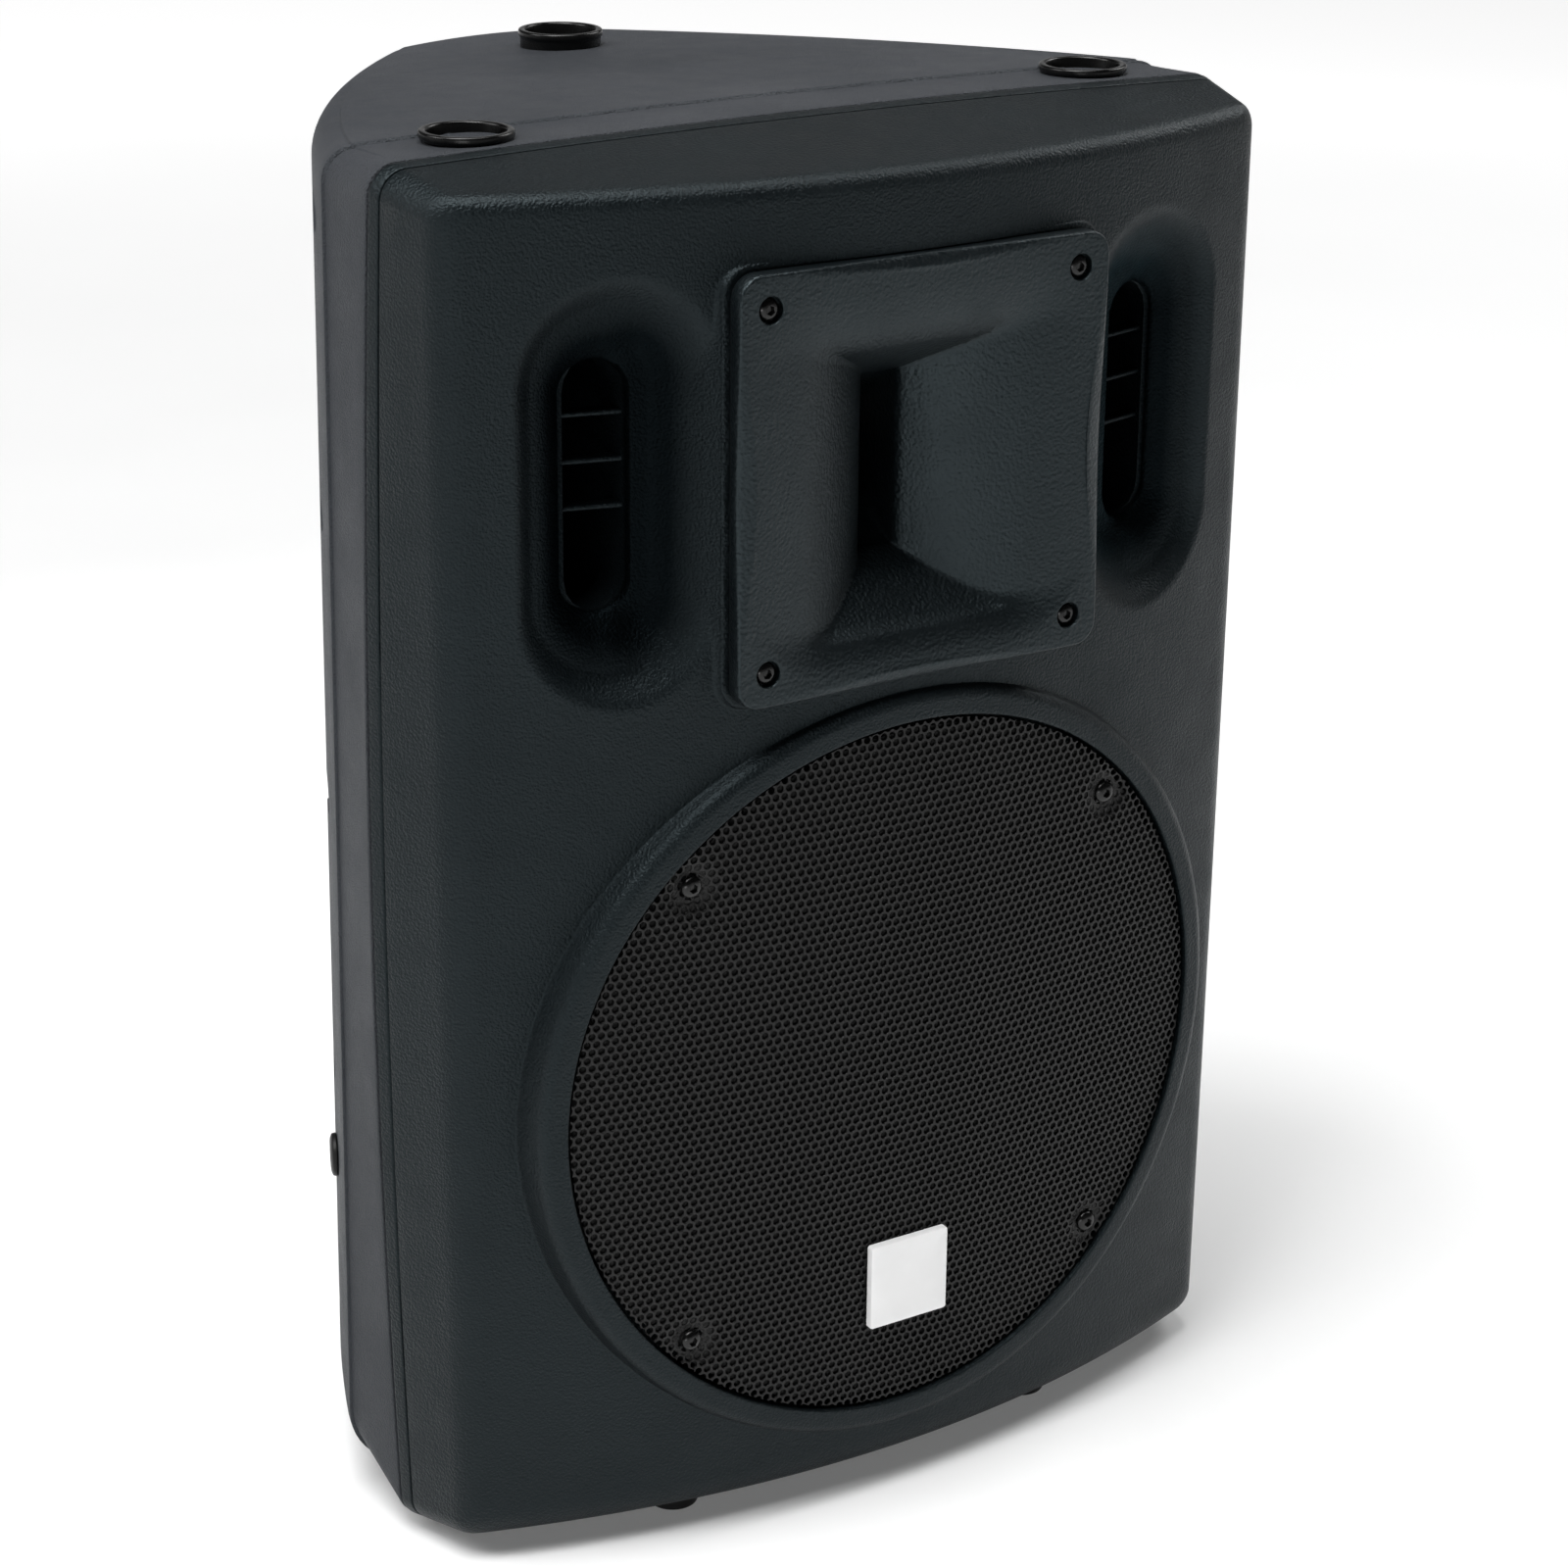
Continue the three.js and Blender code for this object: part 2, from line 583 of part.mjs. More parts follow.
function wooferBasket() {
  let body = solid(turned(BASKET_PROFILE, 36));
  const windows = 6;
  for (let i = 0; i < windows; i += 1) {
    const window = solid(prism([[-30, 76], [30, 76], [58, 132], [-58, 132]], 44.5, 100));
    const angle = (i + 0.5) * 360 / windows;
    body = body.subtract(window.rotate([0, angle, 0]));
  }
  for (let i = 0; i < 8; i += 1) {
    const [x, z] = basketBolt(i);
    body = body.subtract(solid(rod(3.1, 20, 40, x, z, 6)));
  }
  return geometryOf(body).translate(0, 0, WOOFER_Z);
}

// Eight bolts share the grille screws' circle: odd ones stand at the grille screws.
function basketBolt(i) {
  const angle = i * Math.PI / 4;
  const radius = GRILLE_SCREW_SPACING * Math.SQRT2;
  return [radius * Math.cos(angle), radius * Math.sin(angle)];
}

// A pillar that bolts the basket down and takes a grille screw in its front end.
const GRILLE_POST_PROFILE = [
  [0, 18], [2.7, 18], [2.7, 10], [4.5, 10], [4.5, 27.4], [2.4, 27.4], [2.4, 44], [0, 44],
];

// ---- grille -------------------------------------------------------------------------------
function bowedDisc(radius, setBack, thickness) {
  const disc = solid(rod(radius, -OVERRUN, 60, 0, WOOFER_Z, 48));
  const front = behindBow(setBack, RING_BOW);
  return disc.intersect(front).subtract(behindBow(setBack + thickness, RING_BOW));
}

function withGrilleHoles(disc, radius) {
  let body = disc;
  for (const dx of mirrored([GRILLE_SCREW_SPACING])) {
    for (const dz of mirrored([GRILLE_SCREW_SPACING])) {
      body = body.subtract(solid(rod(radius, -OVERRUN, 60, dx, WOOFER_Z + dz, 10)));
    }
  }
  return geometryOf(body);
}

// ---- fasteners ----------------------------------------------------------------------------
// A button-head screw along Y with a hexagon socket; y is the underside of its head.
function socketScrew(headRadius, shankRadius, length) {
  const profile = [
    [0, -2.6], [headRadius * 0.72, -2.6], [headRadius, -1.2], [headRadius, 0],
    [shankRadius, 0], [shankRadius, length], [0, length],
  ];
  const key = new THREE.CylinderGeometry(1.6, 1.6, 3, 6);
  return geometryOf(solid(turned(profile, 12)).subtract(solid(key.translate(0, -2.3, 0))));
}

// ---- soft and loose inner pieces ----------------------------------------------------------
function lead(points, radius) {
  const path = new THREE.CatmullRomCurve3(points.map((p) => new THREE.Vector3(...p)));
  const circle = new THREE.Shape();
  circle.absarc(0, 0, radius, 0, 2 * Math.PI);
  return new THREE.ExtrudeGeometry(circle, { steps: 16, curveSegments: 3, extrudePath: path });
}

// ---- bottom, top and rear fittings --------------------------------------------------------
// A rubber ring round a shallow cup; base is the surface that its rim stands on.
function stackingCup(rim, base) {
  return upright([
    [0, rim - 12], [14.2, rim - 12], [15.7, rim], [CUP_RADIUS - 0.8, rim], [CUP_RADIUS, rim - 1],
    [CUP_RADIUS, base], [16.6, base], [16.6, rim - 15], [0, rim - 15],
  ]);
}

function poleSocket() {
  const end = 1.5 + POLE.depth;
  return upright([
    [0, end], [POLE.bore, end], [POLE.bore, 1.5], [38, 1.5], [38, 7.2],
    [23.7, 7.2], [23.7, end + 4], [0, end + 4],
  ]);
}

function foot(top) {
  return upright([[0, 0], [FOOT_RADIUS - 1.5, 0], [FOOT_RADIUS, 1.5], [FOOT_RADIUS, top], [0, top]], 20);
}

function handleCup(side) {
  const { halfU, halfZ, depth, wall } = HANDLE;
  let cup = handleBox(side, -depth - wall, -3.7, halfU + wall, halfZ + wall);
  cup = cup.add(handleBox(side, -3.8, -1.2, halfU + 13, halfZ + 13));
  return geometryOf(cup.subtract(handleBox(side, -depth, 10, halfU, halfZ)));
}

function handleGrip(side) {
  const bar = loft([-1, 1].map((end) => ({
    y: end * (HANDLE.halfU - GAP),
    points: roundedBox(-13, 14, 8, 10, 6, 4),
  })));
  return bar.applyMatrix4(handlePlace(side));
}

function inputPanel() {
  const { halfX, halfZ, z, y, thickness } = PANEL;
  let plate = solid(prism(roundedBox(0, z, halfX, halfZ, 4), y, y + thickness));
  for (const socketZ of SOCKET_Z) {
    plate = plate.subtract(solid(rod(12.4, y - 5, y + 5, 0, socketZ, 24)));
  }
  return geometryOf(plate);
}

// A round twist-lock socket: flange outside the panel, body inside, a ring-shaped well.
function speakerSocket() {
  const back = PANEL.y + PANEL.thickness;
  const flange = solid(prism(roundedBox(0, 0, 13, 15.5, 3), back + GAP, back + 3.2));
  const body = flange.add(solid(rod(12, PANEL.y - 22, back + 1, 0, 0, 20)));
  const well = solid(turned([[4, PANEL.y - 12], [10.8, PANEL.y - 12], [10.8, REAR_Y], [4, REAR_Y]], 20));
  return geometryOf(body.subtract(well));
}

// ---- assembly -----------------------------------------------------------------------------
const cabinet = new THREE.Group();
cabinet.position.y = -(BADGE_FRONT_Y + REAR_Y) / 2;

function add(name, geometry, look, x = 0, y = 0, z = 0) {
  const mesh = new THREE.Mesh(closed(geometry), look);
  mesh.name = name;
  mesh.position.set(x, y, z);
  cabinet.add(mesh);
}

// The four corners of a square, as [number, x sign, z sign].
const CORNERS = [[1, -1, 1], [2, 1, 1], [3, -1, -1], [4, 1, -1]];
const SIDES = [['left', -1], ['right', 1]];

function addHousing() {
  add('front_baffle', frontBaffle(), FRONT_PLASTIC);
  add('rear_shell', rearShell(), SHELL_PLASTIC);
  add('seam_gasket', seamGasket(), RUBBER);
  for (const [name, side] of SIDES) {
    add(`port_tube_${name}`, portTube(side), FRONT_PLASTIC);
    add(`handle_cup_${name}`, handleCup(side), FRONT_PLASTIC);
    add(`handle_grip_${name}`, handleGrip(side), RUBBER);
  }
}

function addHorn() {
  add('horn_waveguide', hornWaveguide(), FRONT_PLASTIC);
  add('horn_gasket', hornGasket(), RUBBER);
  for (const [number, dx, dz] of CORNERS) {
    const x = dx * HORN_SCREW_SPACING;
    const z = HORN_Z + dz * HORN_SCREW_SPACING;
    add(`horn_screw_${number}`, socketScrew(4.75, 2.3, 18), BLACK_STEEL, x, 2.9, z);
  }
  add('driver_body', turned(DRIVER_BODY, 28), ALLOY, 0, 0, HORN_Z);
  add('driver_diaphragm', turned(DRIVER_DIAPHRAGM, 24), ZINC, 0, 0, HORN_Z);
  add('driver_cap', turned(DRIVER_CAP, 28), FRONT_PLASTIC, 0, 0, HORN_Z);
}

function addWoofer() {
  add('woofer_basket', wooferBasket(), ALLOY);
  add('surround', turned(surroundProfile(), 32), RUBBER, 0, 0, WOOFER_Z);
  add('woofer_cone', turned(CONE_PROFILE, 32), PAPER, 0, 0, WOOFER_Z);
  add('dust_cap', turned(DUST_CAP_PROFILE, 24), PAPER, 0, 0, WOOFER_Z);
  add('voice_coil', turned(COIL_PROFILE, 24), COPPER, 0, 0, WOOFER_Z);
  add('spider', turned(SPIDER_PROFILE, 24), WOOL, 0, 0, WOOFER_Z);
  add('top_plate', turned(TOP_PLATE_PROFILE, 24), ZINC, 0, 0, WOOFER_Z);
  add('magnet', turned(MAGNET_PROFILE, 28), FERRITE, 0, 0, WOOFER_Z);
  add('yoke', turned(YOKE_PROFILE, 24), ZINC, 0, 0, WOOFER_Z);
  for (let i = 0; i < 8; i += 2) {
    const [x, z] = basketBolt(i);
    add(`basket_screw_${i / 2 + 1}`, socketScrew(4.75, 2.5, 18), BLACK_STEEL, x, 27.4, WOOFER_Z + z);
  }
}

function addGrille() {
  const grille = bowedDisc(GRILLE_RADIUS - 1.5, GRILLE_SET_BACK, GRILLE_THICKNESS);
  add('grille', withGrilleHoles(grille, 2.8), GRILLE_STEEL);
  const foamFront = GRILLE_SET_BACK + GRILLE_THICKNESS + GAP;
  const foam = bowedDisc(GRILLE_RADIUS - 4, foamFront, FOAM_THICKNESS);
  add('grille_foam', withGrilleHoles(foam, 6), FOAM);
  const screwY = GRILLE_SET_BACK + bow(GRILLE_SCREW_SPACING, RING_BOW);
  for (const [number, dx, dz] of CORNERS) {
    const x = dx * GRILLE_SCREW_SPACING;
    const z = WOOFER_Z + dz * GRILLE_SCREW_SPACING;
    add(`grille_screw_${number}`, socketScrew(4.75, 2.3, 6), BLACK_STEEL, x, screwY - 0.9, z);
    add(`grille_post_${number}`, turned(GRILLE_POST_PROFILE, 12), ZINC, x, 0, z);
  }
  const badge = prism(roundedBox(0, 0, 19.6, 19.6, 1), BADGE_FRONT_Y, GRILLE_SET_BACK - GAP);
  add('badge', badge, BADGE_WHITE, 0, 0, WOOFER_Z - 97.5);
}

function addFittings() {
  const frontCupBase = 591.2;
  for (const [name, side] of SIDES) {
    const x = side * FRONT_CUP.x;
    add(`stacking_cup_${name}`, stackingCup(CUP_RIM_Z, frontCupBase), RUBBER, x, FRONT_CUP.y);
    add(`foot_front_${name}`, foot(FRONT_FOOT.top), RUBBER, side * FRONT_FOOT.x, FRONT_FOOT.y);
    add(`foot_rear_${name}`, foot(REAR_FOOT.top), RUBBER, side * REAR_FOOT.x, REAR_FOOT.y);
  }
  add('stacking_cup_rear', stackingCup(REAR_CUP_RIM_Z, 585.4), RUBBER, 0, REAR_CUP_Y);
  add('pole_socket', poleSocket(), BLACK_STEEL, 0, POLE.y);
}

function addElectrics() {
  add('input_panel', inputPanel(), BLACK_STEEL);
  SOCKET_Z.forEach((z, i) => add(`speaker_socket_${i + 1}`, speakerSocket(), FRONT_PLASTIC, 0, 0, z));
  add('crossover_board', block(-33, 33, 322, 323.6, 100, 220), BOARD_GREEN);
  add('crossover_coil', turned([[7, 300], [20, 300], [20, 321.7], [7, 321.7]], 24), COPPER, 8, 0, 190);
  const capacitor = upright([[0, 0], [8, 0], [8, 34], [0, 34]], 16);
  add('crossover_capacitor', capacitor, FERRITE, -14, 313.4, 112);
  add('damping_wool', block(-44, 44, 328, 351, 262, 540), WOOL);
  const wooferRoute = [[-60, 112, 131], [-62, 150, 118], [-48, 210, 108], [-20, 280, 118], [-16, 298, 155]];
  add('woofer_lead', lead(wooferRoute, 2), RUBBER);
  const driverRoute = [[0, 129, 452], [0, 165, 440], [-6, 230, 370], [-8, 275, 270], [-20, 310, 225]];
  add('driver_lead', lead(driverRoute, 2), RUBBER);
}

addHousing();
addHorn();
addWoofer();
addGrille();
addFittings();
addElectrics();

export default cabinet;
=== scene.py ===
"""A two-way moulded PA loudspeaker: the fine surfaces, materials, light and camera.

Shapes are drawn in millimetres in a drawing frame, then moved to the row frame in metres. In the
drawing frame x points right, y points back from the woofer ring's front edge, and z points up
from the floor.
"""
import math

import bmesh
import bpy
import numpy as np
from mathutils import Matrix, Vector, geometry


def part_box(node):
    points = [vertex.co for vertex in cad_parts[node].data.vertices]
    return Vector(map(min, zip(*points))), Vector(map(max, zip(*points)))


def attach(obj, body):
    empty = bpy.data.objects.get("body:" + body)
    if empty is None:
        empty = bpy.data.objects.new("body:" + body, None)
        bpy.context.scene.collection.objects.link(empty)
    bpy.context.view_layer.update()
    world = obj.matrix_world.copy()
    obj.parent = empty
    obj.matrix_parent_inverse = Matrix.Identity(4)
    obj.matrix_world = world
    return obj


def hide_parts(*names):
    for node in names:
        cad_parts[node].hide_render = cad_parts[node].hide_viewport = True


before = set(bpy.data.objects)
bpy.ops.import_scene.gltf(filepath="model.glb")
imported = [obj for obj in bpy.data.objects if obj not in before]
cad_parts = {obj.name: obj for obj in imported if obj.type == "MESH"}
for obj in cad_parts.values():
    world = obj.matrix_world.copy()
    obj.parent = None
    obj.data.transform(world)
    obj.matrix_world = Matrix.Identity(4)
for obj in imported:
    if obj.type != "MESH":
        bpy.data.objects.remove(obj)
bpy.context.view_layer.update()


def middle(node):
    """Centre of a CAD node's box in drawing millimetres, once DRAWING_Y is known."""
    low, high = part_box(node)
    centre = np.array((low + high) / 2) * 1000
    centre[1] -= DRAWING_Y
    return centre


# ---- driving dimensions, in millimetres ----------------------------------------------------
BADGE_PROUD = 2.0
DRAWING_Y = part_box("badge")[0].y * 1000 + BADGE_PROUD  # row Y of the drawing frame's y = 0
WOOFER_Z = middle("woofer_basket")[2]
HORN_Z = middle("horn_waveguide")[2]
PORT_X, _, PORT_Z = middle("port_tube_right")

RING_BOW = 869  # plan radius of the ring's front
FACE_BOW = 535  # plan radius of the face
FACE_Y = 4.5  # the face behind the ring on the centre line
GRILLE_RADIUS = 157
RING_FLAT_RADIUS = 164
RING_EDGE = 5  # rounding outside the ring's flat
RING_SLOPE = 5  # fall of the ring's flank for each millimetre of radius
RING_PATCH_RADIUS = 173.4
RING_STEPS = 420
LEDGE_Y = 33
LEDGE_RADIUS = 141

SLOT_RADIUS = 14
SLOT_STRAIGHT = 37.5
SLOT_SHIFT = 3  # how far the slot lies outside the middle of its flare
FLARE_GROWTH = 30  # from the slot's edge to the flare's rim
FLARE_STRETCH = 8.5  # how much longer the rim's straight stretch is
MOUTH_Y = 38  # the slot's edge, on the port's axis
MOUTH_TURN = 0.25  # how fast the mouth runs back away from the horn, like the bowed face
FIN_Y = 42.5  # the fins' front edges, on the port's axis
FIN_PITCH = 18.8

HORN_HALF = 87
HORN_BACK_Y = 7.4
BOSS_Y = 8.9
BOSS_HALF = 88.2
SEAT_HALF = 87.6
BOSS_SLOPE = 1.8
BOSS_CORNER = 11.2
SEAT_CORNER = 10.6
HORN_PASSAGE = 76  # half of the opening that the horn passes through
PASSAGE_CORNER = 20

SEAM_TOP, SEAM_BOTTOM, SEAM_RADIUS = 589.5, 4.5, 13
CREASE_SIDE, CREASE_TOP, CREASE_BOTTOM = 193.4, 581.6, 10.8  # where face and flanks would meet
EDGE_SIDE, EDGE_TOP, EDGE_BOTTOM = 9.0, 8.0, 14.0  # tangent lengths of the rounded front edges
CROWN = 2.6  # how much the top rises to its middle
SEAM_Y = 79.6
SHELL_Y = 80.9
BAND_END_Y = 119
REAR_Y = 361
CORNER_Y = 352.7
REAR_EDGE = 14
CUP_RIM_Z = 594
PLAN_RADIUS = 690
PLAN_CENTRE = (-445.9, -117)
SIDE_SPREAD = 0.0132
TOP_SLOPE = 0.04
BODY_FOOT_RADIUS = 32  # lower corners of the rear shell

SCREW_SPACING_HORN = 73
SCREW_SPACING_GRILLE = 102.8
SHELL_SCREW_X = 187
SHELL_SCREW_Z = (60, 184, 308, 432, 556)


# ---- mesh helpers --------------------------------------------------------------------------
def to_row(points):
    row = np.asarray(points, float).reshape(-1, 3).copy()
    row[:, 1] += DRAWING_Y
    return row / 1000


def new_object(name, points, faces):
    """A welded mesh object from drawing-frame points, with its faces pointing out."""
    mesh = bpy.data.meshes.new(name)
    mesh.from_pydata(to_row(points).tolist(), [], [list(map(int, f)) for f in faces])
    edit = bmesh.new()
    edit.from_mesh(mesh)
    bmesh.ops.remove_doubles(edit, verts=edit.verts, dist=3e-6)
    bmesh.ops.dissolve_degenerate(edit, edges=edit.edges, dist=1e-7)
    bmesh.ops.recalc_face_normals(edit, faces=edit.faces)
    edit.to_mesh(mesh)
    edit.free()
    made = bpy.data.objects.new(name, mesh)
    bpy.context.scene.collection.objects.link(made)
    return made


def shade(mesh, material, sharp):
    """One material, and smooth faces but for edges sharper than an angle in degrees."""
    mesh.materials.clear()
    mesh.materials.append(material)
    mesh.polygons.foreach_set("use_smooth", [True] * len(mesh.polygons))
    mesh.set_sharp_from_angle(angle=math.radians(sharp))


def dress(made, material, replaces=(), body="cabinet", sharp=32):
    """Material, shading, and the piece's place in the object."""
    shade(made.data, material, sharp)
    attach(made, body)
    if replaces:
        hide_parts(*replaces)


def skin(loops, wrap=False):
    """Points and quads over a row of loops, each an (n, 3) array of one length."""
    loops = [np.asarray(loop, float) for loop in loops]
    count = len(loops[0])
    points = np.concatenate(loops)
    a = np.arange(count)
    b = (a + 1) % count
    faces = []
    rings = len(loops)
    for k in range(rings if wrap else rings - 1):
        low, high = k * count, ((k + 1) % rings) * count
        faces.append(np.stack([low + a, low + b, high + b, high + a], 1))
    return points, np.concatenate(faces)


def joined(*parts):
    """Several (points, faces) pairs as one."""
    points, faces, start = [], [], 0
    for part_points, part_faces in parts:
        points.append(np.asarray(part_points, float).reshape(-1, 3))
        faces.extend([[i + start for i in face] for face in np.asarray(part_faces).tolist()])
        start += len(points[-1])
    return np.concatenate(points), faces


def cap(loop):
    """A fan over one loop."""
    loop = np.asarray(loop, float)
    count = len(loop)
    points = np.concatenate([loop, loop.mean(0)[None]])
    faces = [[i, (i + 1) % count, count] for i in range(count)]
    return points, faces


def capped(loops):
    """A skin over the loops with both ends closed."""
    return joined(skin(loops), cap(loops[0]), cap(loops[-1]))


def turns(count):
    """Angles spaced evenly round a full turn."""
    return np.arange(count) * 2 * math.pi / count


def polar(radius, angle):
    """Points round a centre, as (n, 2)."""
    return np.stack([radius * np.cos(angle), radius * np.sin(angle)], 1)


def four_places(half_x, half_z):
    return [(x, z) for x in (-half_x, half_x) for z in (-half_z, half_z)]


def lathe(profile, centre, axis="y", segments=64):
    """Loops of a turned piece; profile is [(radius, distance along the axis)]."""
    angle = turns(segments)
    loops = []
    for radius, along in profile:
        c, s = radius * np.cos(angle), radius * np.sin(angle)
        flat = np.full(segments, float(along))
        spread = {"y": (c, flat, s), "z": (c, s, flat), "x": (flat, c, s)}[axis]
        loops.append(np.stack(spread, 1) + np.asarray(centre, float))
    return loops


def turned(name, profile, centre, axis="y", segments=64):
    """A closed turned piece: both ends of the profile are capped unless they meet."""
    loops = lathe(profile, centre, axis, segments)
    if profile[0] == profile[-1]:
        return new_object(name, *skin(loops))
    return new_object(name, *capped(loops))


def rounded(profile, radius, steps=4):
    """The profile's inner corners rounded, as points for a lathe."""
    points = [np.array(p, float) for p in profile]
    made = [points[0]]
    for before, corner, after in zip(points, points[1:], points[2:]):
        back, ahead = before - corner, after - corner
        reach = min(radius, 0.45 * np.linalg.norm(back), 0.45 * np.linalg.norm(ahead))
        start = corner + back / np.linalg.norm(back) * reach
        end = corner + ahead / np.linalg.norm(ahead) * reach
        for t in np.linspace(0, 1, steps + 1):
            made.append((1 - t) ** 2 * start + 2 * t * (1 - t) * corner + t * t * end)
    made.append(points[-1])
    return [tuple(p) for p in made]


def superbox(half_x, half_z, round_x, round_z, corner=12, side=16):
    """A rectangle's outline with elliptical corners, as (n, 2), the same count every time."""
    quarter = np.linspace(0, math.pi / 2, corner + 1)
    cx, cz = half_x - round_x, half_z - round_z
    arc = np.stack([cx + round_x * np.cos(quarter), cz + round_z * np.sin(quarter)], 1)
    up = np.linspace(-1, 1, side + 1)[1:-1]
    right = np.stack([np.full(side - 1, float(half_x)), cz * up], 1)
    top = np.stack([-cx * up, np.full(side - 1, float(half_z))], 1)
    half_turn = np.concatenate([right, arc, top, arc[::-1] * [-1, 1]])
    return np.concatenate([half_turn, -half_turn])


def at_depth(outline, y, x=0.0, z=0.0):
    """An (n, 2) outline placed at y; y is one number or one for each point."""
    depth = np.broadcast_to(np.asarray(y, float), len(outline))
    return np.stack([outline[:, 0] + x, depth, outline[:, 1] + z], 1)


def bow(x, radius):
    return radius - np.sqrt(radius * radius - np.asarray(x, float) ** 2)


def smoothstep(value, start, end):
    t = np.clip((np.asarray(value, float) - start) / (end - start), 0, 1)
    return t * t * (3 - 2 * t)


def smooth_min(a, b, width):
    blend = np.maximum(width - np.abs(a - b), 0) / width
    return np.minimum(a, b) - blend * blend * width / 4


def cut(target, *cutters):
    """Takes closed cutters away from a closed piece, and applies the result."""
    for cutter in cutters:
        boolean = target.modifiers.new("cut", "BOOLEAN")
        boolean.operation = "DIFFERENCE"
        boolean.solver = "EXACT"
        boolean.object = cutter
    done = target.evaluated_get(bpy.context.evaluated_depsgraph_get())
    mesh = bpy.data.meshes.new_from_object(done)
    target.modifiers.clear()
    old = target.data
    target.data = mesh
    bpy.data.meshes.remove(old)
    for cutter in cutters:
        bpy.data.objects.remove(cutter)


# ---- materials -----------------------------------------------------------------------------
class Nodes:
    """A short way to write a node tree, for a material or for the name of a new one."""

    def __init__(self, material):
        if isinstance(material, str):
            material = bpy.data.materials.new(material)
            material.use_nodes = True
        self.material, self.tree = material, material.node_tree
        self.shader = self.tree.nodes["Principled BSDF"]
        self.place = self.add("ShaderNodeTexCoord").outputs["Object"]

    def put(self, socket, value):
        if isinstance(value, bpy.types.NodeSocket):
            self.tree.links.new(value, socket)
        else:
            socket.default_value = value

    def add(self, kind, **inputs):
        node = self.tree.nodes.new(kind)
        self.feed(node, **inputs)
        return node

    def feed(self, node, **inputs):
        for key, value in inputs.items():
            self.put(node.inputs[key.replace("_", " ")], value)

    def noise(self, scale, detail=2.0, roughness=0.5):
        node = self.add("ShaderNodeTexNoise", Vector=self.place, Scale=scale, Detail=detail,
                        Roughness=roughness)
        return node.outputs["Fac"]

    def cells(self, scale, feature="F1"):
        node = self.add("ShaderNodeTexVoronoi", Vector=self.place, Scale=scale)
        node.feature = feature
        return node.outputs["Distance"]

    def ramp(self, value, *stops):
        """A colour ramp; stops are (position, grey or colour)."""
        node = self.add("ShaderNodeValToRGB", Fac=value)
        elements = node.color_ramp.elements
        while len(elements) < len(stops):
            elements.new(0.5)
        for element, (position, colour) in zip(elements, stops):
            element.position = position
            colour = (colour,) * 3 if isinstance(colour, (int, float)) else colour
            element.color = (*colour, 1)
        return node.outputs["Color"]

    def math(self, operation, *values):
        node = self.add("ShaderNodeMath")
        node.operation = operation
        for socket, value in zip(node.inputs, values):
            self.put(socket, value)
        return node.outputs[0]

    def mix(self, factor, a, b):
        node = self.add("ShaderNodeMix")
        node.data_type = "RGBA"
        for key, value in ((0, factor), (6, a), (7, b)):
            self.put(node.inputs[key], (*value, 1) if isinstance(value, tuple) else value)
        return node.outputs[2]

    def bump(self, height, strength, distance, normal=None):
        node = self.add("ShaderNodeBump", Height=height, Strength=strength, Distance=distance)
        if normal is not None:
            self.tree.links.new(normal, node.inputs["Normal"])
        return node.outputs["Normal"]


TINT = (0.74, 0.93, 1.0)  # the black plastic's cool sheen
COAT_SPECULAR = 0.26  # specular levels of the other black surfaces
RUBBER_SPECULAR = 0.3


def grained_plastic(name, low, high, roughness, grain, depth, specular):
    """Moulded plastic with a pebble grain, faint cloudiness, and sparse pale dust and scuffs."""
    n = Nodes(name)
    cloud = n.ramp(n.noise(9, 4), (0.3, low), (0.7, high))
    specks = n.ramp(n.noise(420, 3, 0.6), (0.745, 0), (0.80, 1))
    colour = n.mix(specks, cloud, tuple(3.2 * c for c in high))
    pebble = n.ramp(n.cells(grain, "SMOOTH_F1"), (0.0, 1), (0.75, 0))
    fine = n.noise(grain * 2.3, 3, 0.6)
    first = n.bump(pebble, 1.0, depth * 0.0003)
    second = n.bump(fine, 1.0, depth * 0.0002, first)
    worn = n.ramp(n.noise(35, 5, 0.65), (0.35, roughness - 0.05), (0.7, roughness + 0.07))
    n.feed(n.shader, Base_Color=colour, Roughness=worn, Normal=second,
           Specular_IOR_Level=specular, Specular_Tint=(*TINT, 1))
    return n.material


def metal(name, low, high, roughness, scale=260, metallic=1.0, depth=0.15):
    n = Nodes(name)
    colour = n.ramp(n.noise(scale, 4), (0.35, low), (0.65, high))
    rough = n.ramp(n.noise(scale * 0.4, 3), (0.3, roughness * 0.85), (0.7, roughness * 1.2))
    normal = n.bump(n.noise(scale * 6, 3), depth, 0.0001)
    n.feed(n.shader, Base_Color=colour, Roughness=rough, Normal=normal, Metallic=metallic)
    if metallic < 0.1:
        n.feed(n.shader, Specular_IOR_Level=COAT_SPECULAR)
    return n.material


def rubber(name, tone, roughness):
    n = Nodes(name)
    colour = n.ramp(n.noise(60, 4), (0.35, tone * 0.85), (0.7, tone * 1.25))
    rough = n.ramp(n.noise(140, 4), (0.3, roughness - 0.05), (0.7, roughness + 0.08))
    normal = n.bump(n.noise(2600, 2), 0.12, 0.0001)
    n.feed(n.shader, Base_Color=colour, Roughness=rough, Normal=normal,
           Specular_IOR_Level=RUBBER_SPECULAR)
    return n.material


def fibre(name, low, high, scale):
    n = Nodes(name)
    colour = n.ramp(n.noise(scale, 6, 0.7), (0.35, low), (0.65, high))
    normal = n.bump(n.cells(scale * 0.8), 0.5, 0.0006)
    n.feed(n.shader, Base_Color=colour, Normal=normal, Roughness=0.95, Sheen_Weight=0.2)
    return n.material


